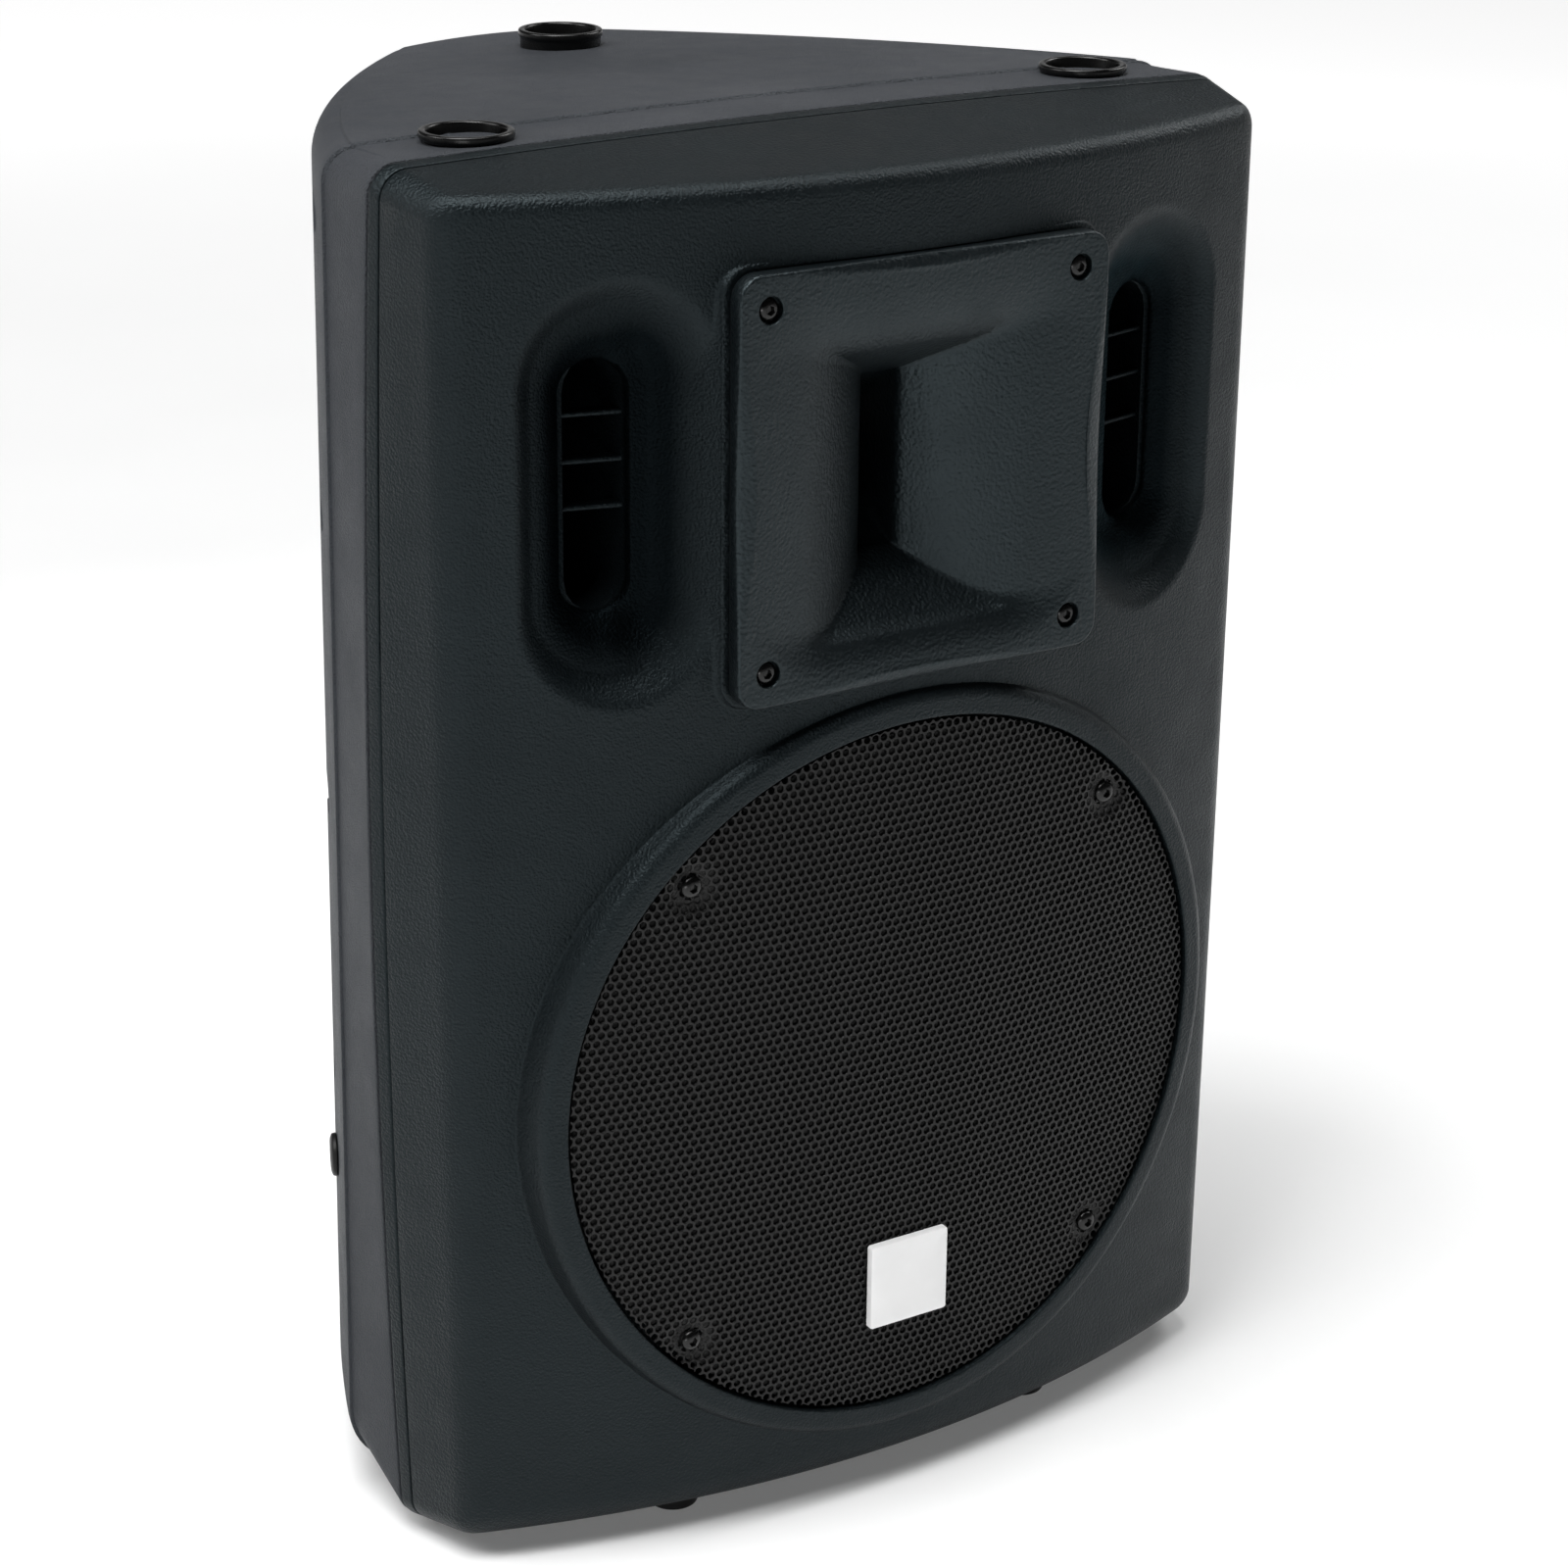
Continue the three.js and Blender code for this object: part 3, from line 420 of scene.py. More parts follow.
def woven(name, low, high, pitch):
    """Two crossed sets of threads."""
    n = Nodes(name)
    waves = []
    for direction in ("X", "Z"):
        wave = n.add("ShaderNodeTexWave", Vector=n.place, Scale=0.5 / pitch)
        wave.bands_direction = direction
        waves.append(wave.outputs["Fac"])
    weave = n.math("MAXIMUM", *waves)
    colour = n.ramp(weave, (0.3, low), (0.9, high))
    normal = n.bump(weave, 0.6, 0.0004)
    n.feed(n.shader, Base_Color=colour, Normal=normal, Roughness=0.85)
    return n.material


def wound_wire():
    n = Nodes("wound_copper")
    wave = n.add("ShaderNodeTexWave", Vector=n.place, Scale=420)
    wave.bands_direction = "Y"
    colour = n.ramp(wave.outputs["Fac"], (0.1, (0.16, 0.05, 0.02)), (0.8, (0.5, 0.19, 0.07)))
    normal = n.bump(wave.outputs["Fac"], 0.7, 0.0004)
    n.feed(n.shader, Base_Color=colour, Normal=normal, Metallic=0.8, Roughness=0.35)
    return n.material


def circuit_board():
    n = Nodes("circuit_board")
    tracks = n.ramp(n.cells(160, "DISTANCE_TO_EDGE"),
                    (0.04, (0.03, 0.14, 0.05)), (0.08, (0.012, 0.06, 0.02)))
    n.feed(n.shader, Base_Color=tracks, Roughness=0.3, Normal=n.bump(n.noise(900), 0.1, 0.0001))
    return n.material


def badge_face():
    n = Nodes("badge_white")
    colour = n.ramp(n.noise(50, 3), (0.3, 0.90), (0.7, 0.94))
    n.feed(n.shader, Base_Color=colour, Roughness=0.22, Normal=n.bump(n.noise(500), 0.04, 0.0001))
    return n.material


COOL_BLACK = ((0.0016, 0.0026, 0.0032), (0.0022, 0.0036, 0.0044))
FRONT_PLASTIC = grained_plastic("front_plastic", *COOL_BLACK, 0.42, 950, 0.9, 0.24)
HORN_PLASTIC = grained_plastic("horn_plastic", *COOL_BLACK, 0.40, 700, 0.8, 0.38)
SHELL_PLASTIC = grained_plastic("shell_plastic", (0.024, 0.025, 0.029), (0.040, 0.041, 0.046),
                                0.55, 1300, 1.7, 0.2)
GLOSS_RUBBER = rubber("gloss_rubber", 0.001, 0.25)
DULL_RUBBER = rubber("dull_rubber", 0.002, 0.5)
SCREW_BLACK = metal("screw_black", 0.003, 0.006, 0.2, metallic=0.3)
GRILLE_COAT = metal("grille_coat", 0.003, 0.005, 0.35, 700, 0.0, 0.4)
PANEL_COAT = metal("panel_coat", 0.008, 0.012, 0.45, 500, 0.0, 0.4)
ZINC = metal("zinc_plate", 0.38, 0.5, 0.35)
CAST_ALLOY = metal("cast_alloy", 0.024, 0.034, 0.5, 180, 0.2, 0.5)
BLACK_FOAM = fibre("black_foam", 0.002, 0.006, 1200)
PAPER = fibre("cone_paper", 0.010, 0.016, 700)
WOOL = fibre("damping_wool", (0.42, 0.40, 0.34), (0.60, 0.57, 0.50), 300)
CLOTH = woven("spider_cloth", (0.30, 0.24, 0.12), (0.50, 0.42, 0.24), 0.0012)
FERRITE = metal("ferrite", 0.014, 0.024, 0.6, 300, 0.0, 0.3)
COPPER = wound_wire()
BOARD = circuit_board()
BADGE = badge_face()


FLARES_HALF_X, FLARES_HALF_Z = 0.176, 0.100  # metres; the darkened part of the face


def flare_shade(material):
    """Paint the port flares darker by weakening their sheen with depth. The metallic channel does it,
    over a nearly black base colour. This is a look, not a second finish that is known to be there."""
    n = Nodes(material)
    x, y, z = n.add("ShaderNodeSeparateXYZ", Vector=n.place).outputs
    bowed = n.math("MULTIPLY", n.math("MULTIPLY", x, x), 0.5 / (FACE_BOW / 1000))
    depth = n.math("SUBTRACT", n.math("SUBTRACT", y, (DRAWING_Y + FACE_Y) / 1000), bowed)
    inside = n.math("LESS_THAN", n.math("ABSOLUTE", x), FLARES_HALF_X)
    level = n.math("ABSOLUTE", n.math("SUBTRACT", z, PORT_Z / 1000))
    inside = n.math("MULTIPLY", inside, n.math("LESS_THAN", level, FLARES_HALF_Z))
    deep = n.ramp(n.math("MULTIPLY", depth, 20), (0.05, 0), (0.26, 0.9), (0.41, 0.9), (0.45, 0.1))
    n.feed(n.shader, Metallic=n.math("MULTIPLY", deep, inside))


flare_shade(FRONT_PLASTIC)


# ---- front moulding ------------------------------------------------------------------------
def face_y(x):
    return FACE_Y + bow(x, FACE_BOW)


def ring_y(x, z):
    """The ring's surface, run on outside it as a cone."""
    radius = np.hypot(x, z - WOOFER_Z)
    steepest = math.atan(RING_SLOPE)
    edge_end = RING_FLAT_RADIUS + RING_EDGE * math.sin(steepest)
    over = np.clip(radius - RING_FLAT_RADIUS, 0, edge_end - RING_FLAT_RADIUS)
    drop = RING_EDGE - np.sqrt(RING_EDGE ** 2 - over ** 2)
    drop = drop + RING_SLOPE * np.maximum(radius - edge_end, 0)
    inner = np.clip(GRILLE_RADIUS + 1 - radius, 0, 1)
    drop = drop + 1 - np.sqrt(1 - inner ** 2)
    return bow(np.clip(x, -200, 200), RING_BOW) + drop


def port_level(u, v):
    """0 along the slot's edge, 1 along the flare's rim, for places measured from the port's axis."""
    u, v = np.abs(u), np.abs(v)
    straight = (u - SLOT_RADIUS) / FLARE_GROWTH
    past = v - SLOT_STRAIGHT
    a = FLARE_GROWTH ** 2 - FLARE_STRETCH ** 2
    b = 2 * (SLOT_RADIUS * FLARE_GROWTH + FLARE_STRETCH * past)
    c = SLOT_RADIUS ** 2 - u ** 2 - past ** 2
    curved = (-b + np.sqrt(np.maximum(b * b - 4 * a * c, 0))) / (2 * a)
    return np.where(past > FLARE_STRETCH * straight, curved, straight)


def port_outline(level, count_arc=40, count_side=30):
    """The port's outline at a level, as (n, 2) from its axis."""
    radius = SLOT_RADIUS + FLARE_GROWTH * level
    straight = SLOT_STRAIGHT + FLARE_STRETCH * level
    angle = np.linspace(0, math.pi, count_arc + 1)
    top = np.stack([radius * np.cos(angle), straight + radius * np.sin(angle)], 1)
    down = np.linspace(1, -1, count_side + 1)[1:-1]
    left = np.stack([np.full(count_side - 1, -radius), straight * down], 1)
    return np.concatenate([top, left, -top, -left])


def shifted_level(x, z):
    """port_level with the slot's own shift taken into account."""
    across, up = np.abs(x) - PORT_X, z - PORT_Z
    level = port_level(across, up)
    for _ in range(4):
        level = port_level(across - SLOT_SHIFT * (1 - np.clip(level, 0, 1)), up)
    return level


def flared_y(x, z):
    """The face with both port flares sunk into it."""
    y = face_y(x)
    across, up = np.abs(x) - PORT_X, np.abs(z - PORT_Z)
    level = shifted_level(x, z)
    inward = FLARE_GROWTH * (1 - level)
    gentle = 0.4 * smoothstep(inward, 2, 14)
    gentle = gentle + 0.6 * (np.clip(inward - 8, 0, None) / (FLARE_GROWTH - 8)) ** 2
    run = (inward - 5) / 18
    steep = 0.5 * (1 + np.sqrt(run ** 2 + 0.006) - np.sqrt((run - 1) ** 2 + 0.006))
    past = np.maximum(up - SLOT_STRAIGHT - FLARE_STRETCH * level, 0)
    toward_horn = smoothstep(-across / np.maximum(np.hypot(across, past), 1e-6), -0.1, 0.9)
    share = np.clip(gentle + (steep - gentle) * toward_horn, 0, 1.2)
    return y + (MOUTH_Y + MOUTH_TURN * across - y) * share


def outside_box(x, z, half, corner):
    """Distance outside a rounded square about the horn's axis."""
    dx = np.abs(x) - half + corner
    dz = np.abs(z - HORN_Z) - half + corner
    outside = np.hypot(np.maximum(dx, 0), np.maximum(dz, 0))
    return outside + np.minimum(np.maximum(dx, dz), 0) - corner


def boss_y(x, z):
    """The block that the horn's flange sits on, with a drafted, rounded flank."""
    out = np.maximum(outside_box(x, z, BOSS_HALF, BOSS_CORNER), 0)
    return BOSS_Y + np.where(out < 1, 1 - np.sqrt(np.maximum(1 - out ** 2, 0)), 1) \
        + BOSS_SLOPE * np.maximum(out - 0.98, 0)


def front_y(x, z):
    y = smooth_min(flared_y(x, z), boss_y(x, z), 1.6)
    return smooth_min(y, ring_y(x, z), 2.2)


def side_reach(z):
    return 209.9 - 7.77e-5 * (z - 259) ** 2


def body_outline(side, top, bottom, radius, crown=0.0, plate=0.0, foot_radius=None):
    """One outline of the cabinet across its depth, as (n, 2); side gives half the width at z.
    plate lifts the flat of the top over the rounded edge beside it."""
    corner, up, over = 12, 26, 56  # steps round a corner, up a side and across
    below = foot_radius or radius
    low, high = bottom + below, top - radius
    x_low, x_high = side(low) - below, side(high) - radius
    quarter = np.linspace(0, math.pi / 2, corner + 1)
    lower = np.stack([x_low + below * np.sin(quarter), low - below * np.cos(quarter)], 1)
    z = np.linspace(low, high, up + 1)[1:-1]
    right = np.stack([side(z), z], 1)
    upper = np.stack([x_high + radius * np.cos(quarter), high + radius * np.sin(quarter)], 1)
    x = np.linspace(x_high, -x_high, over + 1)[1:-1]
    x[:3], x[-3:] = x_high - np.array([0.15, 0.7, 3]), np.array([3, 0.7, 0.15]) - x_high
    lift = crown * (1 - (x / x_high) ** 2) + plate * smoothstep(x_high - np.abs(x), 0, 0.7)
    roof = np.stack([x, top + lift], 1)
    floor_x = np.linspace(-x_low, x_low, over + 1)[1:-1]
    base = np.stack([floor_x, np.full(over - 1, float(bottom))], 1)
    flip = np.array([-1, 1])
    return np.concatenate([lower, right, upper, roof, (upper * flip)[::-1],
                           (right * flip)[::-1], (lower * flip)[::-1], base])


def seam_outline(inset=0.0):
    return body_outline(lambda z: side_reach(z) - inset, SEAM_TOP - inset, SEAM_BOTTOM + inset,
                        max(SEAM_RADIUS - inset, 3), crown=CROWN)


def crease_outline(side_in=0.0, top_in=0.0, bottom_in=0.0, radius=9.0):
    return body_outline(lambda z: CREASE_SIDE - side_in + 0 * z, CREASE_TOP - top_in,
                        CREASE_BOTTOM + bottom_in, radius)


def outline_normal(outline):
    ahead = np.roll(outline, -1, 0) - np.roll(outline, 1, 0)
    normal = np.stack([ahead[:, 1], -ahead[:, 0]], 1)
    return normal / np.linalg.norm(normal, axis=1)[:, None]


def front_edge_loops():
    """Loops from the face's border over the rounded edge and down the flank to the seam."""
    crease = crease_outline()
    start = crease_outline(EDGE_SIDE, EDGE_TOP, EDGE_BOTTOM, 6)
    seam = seam_outline()
    on_face = at_depth(start, face_y(start[:, 0]))
    control = at_depth(crease, face_y(crease[:, 0]))
    end = at_depth(seam, SEAM_Y)
    normal = outline_normal(seam)
    reach = np.where(normal[:, 1] > 0, EDGE_TOP, EDGE_BOTTOM) * normal[:, 1] ** 2
    reach = reach + EDGE_SIDE * normal[:, 0] ** 2
    flank = end - control
    length = np.linalg.norm(flank, axis=1)
    on_flank = control + flank * (reach / length)[:, None]
    loops = []
    for t in np.linspace(0, 1, 11):
        loops.append((1 - t) ** 2 * on_face + 2 * t * (1 - t) * control + t * t * on_flank)
    outward = np.stack([normal[:, 0], 0 * normal[:, 0], normal[:, 1]], 1)
    places = [(share, 0) for share in (0.9, 0.75, 0.5, 0.3)]
    # (distance before the seam, how far the surface stands out from the ruled flank)
    places += [(distance / length, out) for distance, out in (
        (12, -0.02), (7.8, -0.05), (7.2, -0.2), (7.0, -1.6), (6.4, -1.6), (6.2, -0.2), (5.9, -0.05),
        (5.3, 0), (3, 0), (1.2, 0), (0.6, -0.1), (0.2, -0.45), (0, -1.1), (0, -4.6), (20, -5))]
    for share, out in places:
        share = np.clip(share, 0, 1 - reach / length)
        loops.append(end - flank * share[:, None] + outward * out)
    return start, loops


def ring_patch():
    """The ring as rings of points, from the grille's opening outwards, and its inner wall."""
    radii = [GRILLE_RADIUS, 157.15, 157.5, 158, 159.5, 161.5, 163, 164, 165, 166,
             166.9, 167.6, 168.1, 168.5,
             168.8, 169, 169.2, 169.5, 169.8, 170.1, 170.4, 170.7, 171, 171.3, 171.6, 171.9,
             172.2, 172.6, 173, RING_PATCH_RADIUS]
    loops = [at_depth(polar(r, turns(RING_STEPS)), 0, z=WOOFER_Z) for r in radii]
    for loop in loops:
        loop[:, 1] = front_y(loop[:, 0], loop[:, 2])
    wall = loops[0].copy()
    wall[:, 1] = LEDGE_Y
    ledge = wall.copy()
    ledge[:, [0, 2]] = (wall[:, [0, 2]] - [0, WOOFER_Z]) * (LEDGE_RADIUS / GRILLE_RADIUS) + [0, WOOFER_Z]
    return [ledge, wall] + loops


def port_walls(side):
    """The slot's wall behind the flare's mouth."""
    loops = []
    for level, back in ((0, 0), (-0.02, 1.2), (-0.03, 3), (-0.03, 16), (-0.02, 22)):
        outline = port_outline(level)
        mouth = MOUTH_Y + back + MOUTH_TURN * (side * outline[:, 0] + SLOT_SHIFT)
        loop = at_depth(outline, mouth, side * (PORT_X + SLOT_SHIFT), PORT_Z)
        if level == 0:
            loop[:, 1] = front_y(loop[:, 0], loop[:, 2])
        loops.append(loop)
    return loops


def face_patch(border):
    """The bowed face with its features, triangulated between the border, ring, ports and horn."""
    seat = superbox(SEAT_HALF, SEAT_HALF, SEAT_CORNER, SEAT_CORNER, 10, 48) + [0, HORN_Z]
    ring = polar(RING_PATCH_RADIUS, turns(RING_STEPS)) + [0, WOOFER_Z]
    slots = [port_outline(0) + [side * (PORT_X + SLOT_SHIFT), PORT_Z] for side in (-1, 1)]
    outer = [border, seat, ring, *slots]
    free = []
    for out in (0.3, 0.6, 0.85, 1.05, 1.3, 1.6, 2, 2.4, 2.9, 3.4, 4, 4.8, 5.8):
        half = BOSS_HALF + out
        corner = BOSS_CORNER + out
        free.append(superbox(half, half, corner, corner, 10, 52) + [0, HORN_Z])
    boss_points = np.concatenate(free)
    flare = []
    for level in np.linspace(0.025, 1.12, 42):
        shift = SLOT_SHIFT * max(1 - level, 0)
        flare += [port_outline(level, 44, 44) + [side * (PORT_X + shift), PORT_Z] for side in (-1, 1)]
    flare = np.concatenate(flare)
    clear = outside_box(flare[:, 0], flare[:, 1], BOSS_HALF, BOSS_CORNER) > 6.5
    grid_x, grid_z = np.meshgrid(np.arange(-186, 187, 5.5), np.arange(28, 573, 6))
    grid = np.stack([grid_x.ravel(), grid_z.ravel()], 1)
    level = shifted_level(grid[:, 0], grid[:, 1])
    plain = (level > 1.18) & (outside_box(grid[:, 0], grid[:, 1], BOSS_HALF, BOSS_CORNER) > 10)
    plain &= np.hypot(grid[:, 0], grid[:, 1] - WOOFER_Z) > RING_PATCH_RADIUS + 4
    near = np.concatenate([ring + (ring - [0, WOOFER_Z]) * k for k in (0.008, 0.018)])
    loose = np.concatenate([boss_points, flare[clear], grid[plain], near])
    inside = np.abs(loose[:, 0]) < border[:, 0].max() - 1
    inside &= (loose[:, 1] < border[:, 1].max() - 1) & (loose[:, 1] > border[:, 1].min() + 1)
    far = np.hypot(loose[:, 0], loose[:, 1] - WOOFER_Z) > RING_PATCH_RADIUS + 0.3
    loose = loose[inside & far]
    points, edges, start = [], [], 0
    for loop in outer:
        count = len(loop)
        points.append(loop)
        edges += [(start + i, start + (i + 1) % count) for i in range(count)]
        start += count
    points = np.concatenate(points + [loose])
    flat = [Vector(p) for p in points.tolist()]
    made = geometry.delaunay_2d_cdt(flat, edges, [], 1, 1e-5, False)
    xz = np.array([tuple(v) for v in made[0]])
    faces = np.array([f for f in made[2] if len(f) == 3])
    centre = xz[faces].mean(1)
    keep = np.hypot(centre[:, 0], centre[:, 1] - WOOFER_Z) > RING_PATCH_RADIUS - 0.02
    keep &= outside_box(centre[:, 0], centre[:, 1], SEAT_HALF, SEAT_CORNER) > -0.02
    slot = port_level(np.abs(centre[:, 0]) - PORT_X - SLOT_SHIFT, centre[:, 1] - PORT_Z)
    keep &= slot > -0.001
    return at_depth(xz, front_y(xz[:, 0], xz[:, 1])), faces[keep]


def seat_loops():
    """From the edge of the horn's seat down to the flat that its gasket lies on."""
    edge = superbox(SEAT_HALF, SEAT_HALF, SEAT_CORNER, SEAT_CORNER, 10, 48)
    top = at_depth(edge, 0, z=HORN_Z)
    top[:, 1] = front_y(top[:, 0], top[:, 2])
    low = top.copy()
    low[:, 1] = np.maximum(top[:, 1], BOSS_Y)
    passage = superbox(HORN_PASSAGE, HORN_PASSAGE, PASSAGE_CORNER, PASSAGE_CORNER, 10, 48)
    inner = at_depth(passage, BOSS_Y, z=HORN_Z)
    return [top, low, inner]


def port_fins():
    """Three thin fins across each slot, with rounded front edges."""
    section = superbox(4, 1, 0.9, 0.9, 4, 2)
    parts = []
    for side in (-1, 1):
        for step in (-0.5, 0.5, 1.5):
            z = PORT_Z + step * FIN_PITCH
            ends = []
            for x in (-SLOT_RADIUS - 1, SLOT_RADIUS + 1):
                flat = np.full(len(section), side * (PORT_X + SLOT_SHIFT + x))
                depth = FIN_Y + 4 + MOUTH_TURN * (SLOT_SHIFT + x) + section[:, 0]
                ends.append(np.stack([flat, depth, z + section[:, 1]], 1))
            parts += [skin(ends), cap(ends[0]), cap(ends[1])]
    return parts


def front_moulding():
    border, edges = front_edge_loops()
    made = joined(face_patch(border), skin(edges), skin(ring_patch()), skin(seat_loops()),
                  skin(port_walls(-1)), skin(port_walls(1)), *port_fins())
    piece = new_object("front_moulding", *made)
    dress(piece, FRONT_PLASTIC, ["front_baffle"], sharp=40)


# ---- rear moulding -------------------------------------------------------------------------
def rounded_in(depth, length, width):
    share = min(max(depth / length, 0), 1)
    return width * (1 - math.sqrt(1 - share * share))


def tapered_outline(y, inset=0.0):
    """The rear shell's outline at a depth behind its straight band."""
    across = math.sqrt(PLAN_RADIUS ** 2 - (min(y, CORNER_Y) - PLAN_CENTRE[1]) ** 2)
    width = PLAN_CENTRE[0] + across - rounded_in(y - CORNER_Y, REAR_Y - CORNER_Y + 0.1, 18.6)
    edge = rounded_in(y - REAR_Y + REAR_EDGE, REAR_EDGE, 0.8 * REAR_EDGE)
    return body_outline(lambda z: width + SIDE_SPREAD * (CUP_RIM_Z - z) - inset,
                        589 - TOP_SLOPE * (y - BAND_END_Y) - edge - inset,
                        7.5 + edge + inset, SEAM_RADIUS, CROWN, plate=0.8,
                        foot_radius=BODY_FOOT_RADIUS)


def shell_loops():
    """Outer loops from the seam to the back."""
    loops = [at_depth(seam_outline(5), SHELL_Y), at_depth(seam_outline(0.9), SHELL_Y),
             at_depth(seam_outline(0.3), SHELL_Y + 0.3), at_depth(seam_outline(0), SHELL_Y + 1)]
    band_start, band_end = seam_outline(0), tapered_outline(BAND_END_Y + 0.6, 1.3)
    for share in (0.2, 0.4, 0.6, 0.8, 1):
        outline = (1 - share) * band_start + share * band_end
        loops.append(at_depth(outline, SHELL_Y + 1 + share * (BAND_END_Y - SHELL_Y - 2)))
    for deeper, inset in ((0, 0.4), (0.4, 0.1), (1.2, 0)):
        outline = tapered_outline(BAND_END_Y + 0.6 + deeper, inset)
        loops.append(at_depth(outline, BAND_END_Y - 0.3 + deeper))
    for y in np.concatenate([np.linspace(124, 345, 60), np.linspace(347, CORNER_Y, 6)]):
        loops.append(at_depth(tapered_outline(y), y))
    for turn in np.linspace(0, math.pi / 2, 9)[1:]:
        y = CORNER_Y + (REAR_Y - CORNER_Y) * math.sin(turn)
        loops.append(at_depth(tapered_outline(y), y))
    return loops


def rear_moulding():
    outer = shell_loops()
    inner = [at_depth(seam_outline(5), SHELL_Y)]
    for y in (118, 160, 220, 280, 330, 350):
        inner.append(at_depth(tapered_outline(y, 6), y))
    made = joined(skin(outer), cap(outer[-1]), skin(inner), cap(inner[-1]))
    piece = new_object("rear_moulding", *made)
    cutters = [cutter for side in (-1, 1) for cutter in shell_cutters(side)]
    cutters.append(panel_cutter())
    cut(piece, *cutters)
    dress(piece, SHELL_PLASTIC, ["rear_shell"], sharp=30)


def shell_cutters(side):
    made = []
    for z in SHELL_SCREW_Z:
        profile = [(7.5, 136), (7.5, 226)]
        made.append(turned("pocket", profile, (side * SHELL_SCREW_X, 0, z), segments=40))
    for name, half_u, half_z, corner, deep, out in (("handle_cutter", 59.8, 39.8, 12, -60, 8),
                                                    ("rim_cutter", 69.3, 49.3, 18, -4, 14)):
        loops = handle_loops(side, [(n, half_u, half_z, corner) for n in (deep, out)])
        made.append(new_object(name, *capped(loops)))
    return made


PANEL_Y, PANEL_Z, PANEL_X, PANEL_HALF_Z = 354.3, 160, 36, 65


def slab(name, outline, steps, x, z):
    """A closed plate; steps are (size, y), from one face round to the other."""
    return new_object(name, *capped([at_depth(outline * size, y, x, z) for size, y in steps]))


def panel_cutter():
    outline = superbox(PANEL_X + 0.3, PANEL_HALF_Z + 0.3, 4.3, 4.3)
    return slab("panel_cutter", outline, ((1, PANEL_Y - 0.3), (1, REAR_Y + 5)), 0, PANEL_Z)


# ---- handles -------------------------------------------------------------------------------
HANDLE_Y, HANDLE_Z = 235, 300


def handle_place(side, n, u, z):
    """Drawing-frame points from a handle's own: outwards, along the side, up."""
    turn = math.asin((HANDLE_Y - PLAN_CENTRE[1]) / PLAN_RADIUS)
    x = PLAN_CENTRE[0] + PLAN_RADIUS * math.cos(turn) + SIDE_SPREAD * (CUP_RIM_Z - HANDLE_Z)
    n = n - u * u / (2 * PLAN_RADIUS) * smoothstep(n, -20, -4)  # the rim follows the side's curve
    out = np.stack([x + n * math.cos(turn) - u * math.sin(turn),
                    HANDLE_Y + n * math.sin(turn) + u * math.cos(turn),
                    HANDLE_Z + z], 1)
    out[:, 0] *= side
    return out


def handle_loops(side, sections):
    """Loops of rounded boxes (n, half along, half up, corner) in a handle's own frame."""
    loops = []
    for n, half_u, half_z, corner in sections:
        outline = superbox(half_u, half_z, corner, corner, 8, 12)
        loops.append(handle_place(side, np.full(len(outline), float(n)), outline[:, 0], outline[:, 1]))
    return loops


def handle(side, name):
    sections = [(-48, 50, 30, 10), (-3.8, 59.4, 39.4, 11.5), (-3.7, 68.8, 48.8, 17.6),
                (-2.2, 69, 49, 18), (-1.5, 68.6, 48.6, 17.6), (-1.2, 67.8, 47.8, 17),
                (-1.2, 58.5, 38.5, 12), (-1.6, 57, 37, 11), (-3, 56, 36, 10), (-42, 54, 34, 9),
                (-43.8, 52.5, 32.5, 8), (-44.5, 50, 30, 7)]
    loops = handle_loops(side, sections)
    piece = new_object(f"handle_recess_{name}", *capped(loops))
    dress(piece, FRONT_PLASTIC, [f"handle_cup_{name}"])
    outline = superbox(8, 10, 6, 7, 8, 4)
    bars = []
    for u in np.linspace(-55.6, 55.6, 90):
        rib = 0.35 * (math.cos(u * 2 * math.pi / 5) > 0.2) if abs(u) < 44 else 0.0
        swell = 1 + 0.10 * smoothstep(abs(u), 44, 55)
        size = outline * (swell + rib / 9)
        bars.append(handle_place(side, size[:, 0] - 13, np.full(len(size), u), size[:, 1] + 14))
    grip = new_object(f"handle_bar_{name}", *capped(bars))
    dress(grip, DULL_RUBBER, [f"handle_grip_{name}"])


# ---- horn ----------------------------------------------------------------------------------
# Inner sections: depth, half width, half height, corner reach along x and along z, and how far the
# middle lies above the flange's middle.
HORN_SECTIONS = [
    (95, 12.7, 12.7, 12.6, 12.6, 0), (62, 10.6, 24.5, 8, 8, -2.5), (42, 9.0, 34.5, 2, 2, -4.2),
    (35, 9.1, 37.0, 1.2, 1.2, -4.5), (30, 12.6, 40.0, 1.4, 1.3, -4.8), (22, 21.2, 45.8, 2, 1.6, -5.6),
    (14, 32.7, 52.4, 3.4, 2.6, -6.6), (8.5, 43, 57.6, 6.5, 4.6, -6.6), (4, 54.5, 63.5, 16, 9, -4.6),
    (1, 69, 72.5, 33, 19, -2.4), (-0.3, 80, 81, 46, 36, 0),
]


def between(sections, steps):
    """Sections filled in by a Catmull-Rom curve through each column."""
    rows = np.array(sections, float)
    padded = np.concatenate([rows[:1], rows, rows[-1:]])
    made = []
    for i in range(len(rows) - 1):
        p0, p1, p2, p3 = padded[i:i + 4]
        for t in np.arange(steps) / steps:
            made.append(0.5 * (2 * p1 + (p2 - p0) * t + (2 * p0 - 5 * p1 + 4 * p2 - p3) * t * t
                               + (3 * p1 - p0 - 3 * p2 + p3) * t ** 3))
    made.append(rows[-1])
    return made


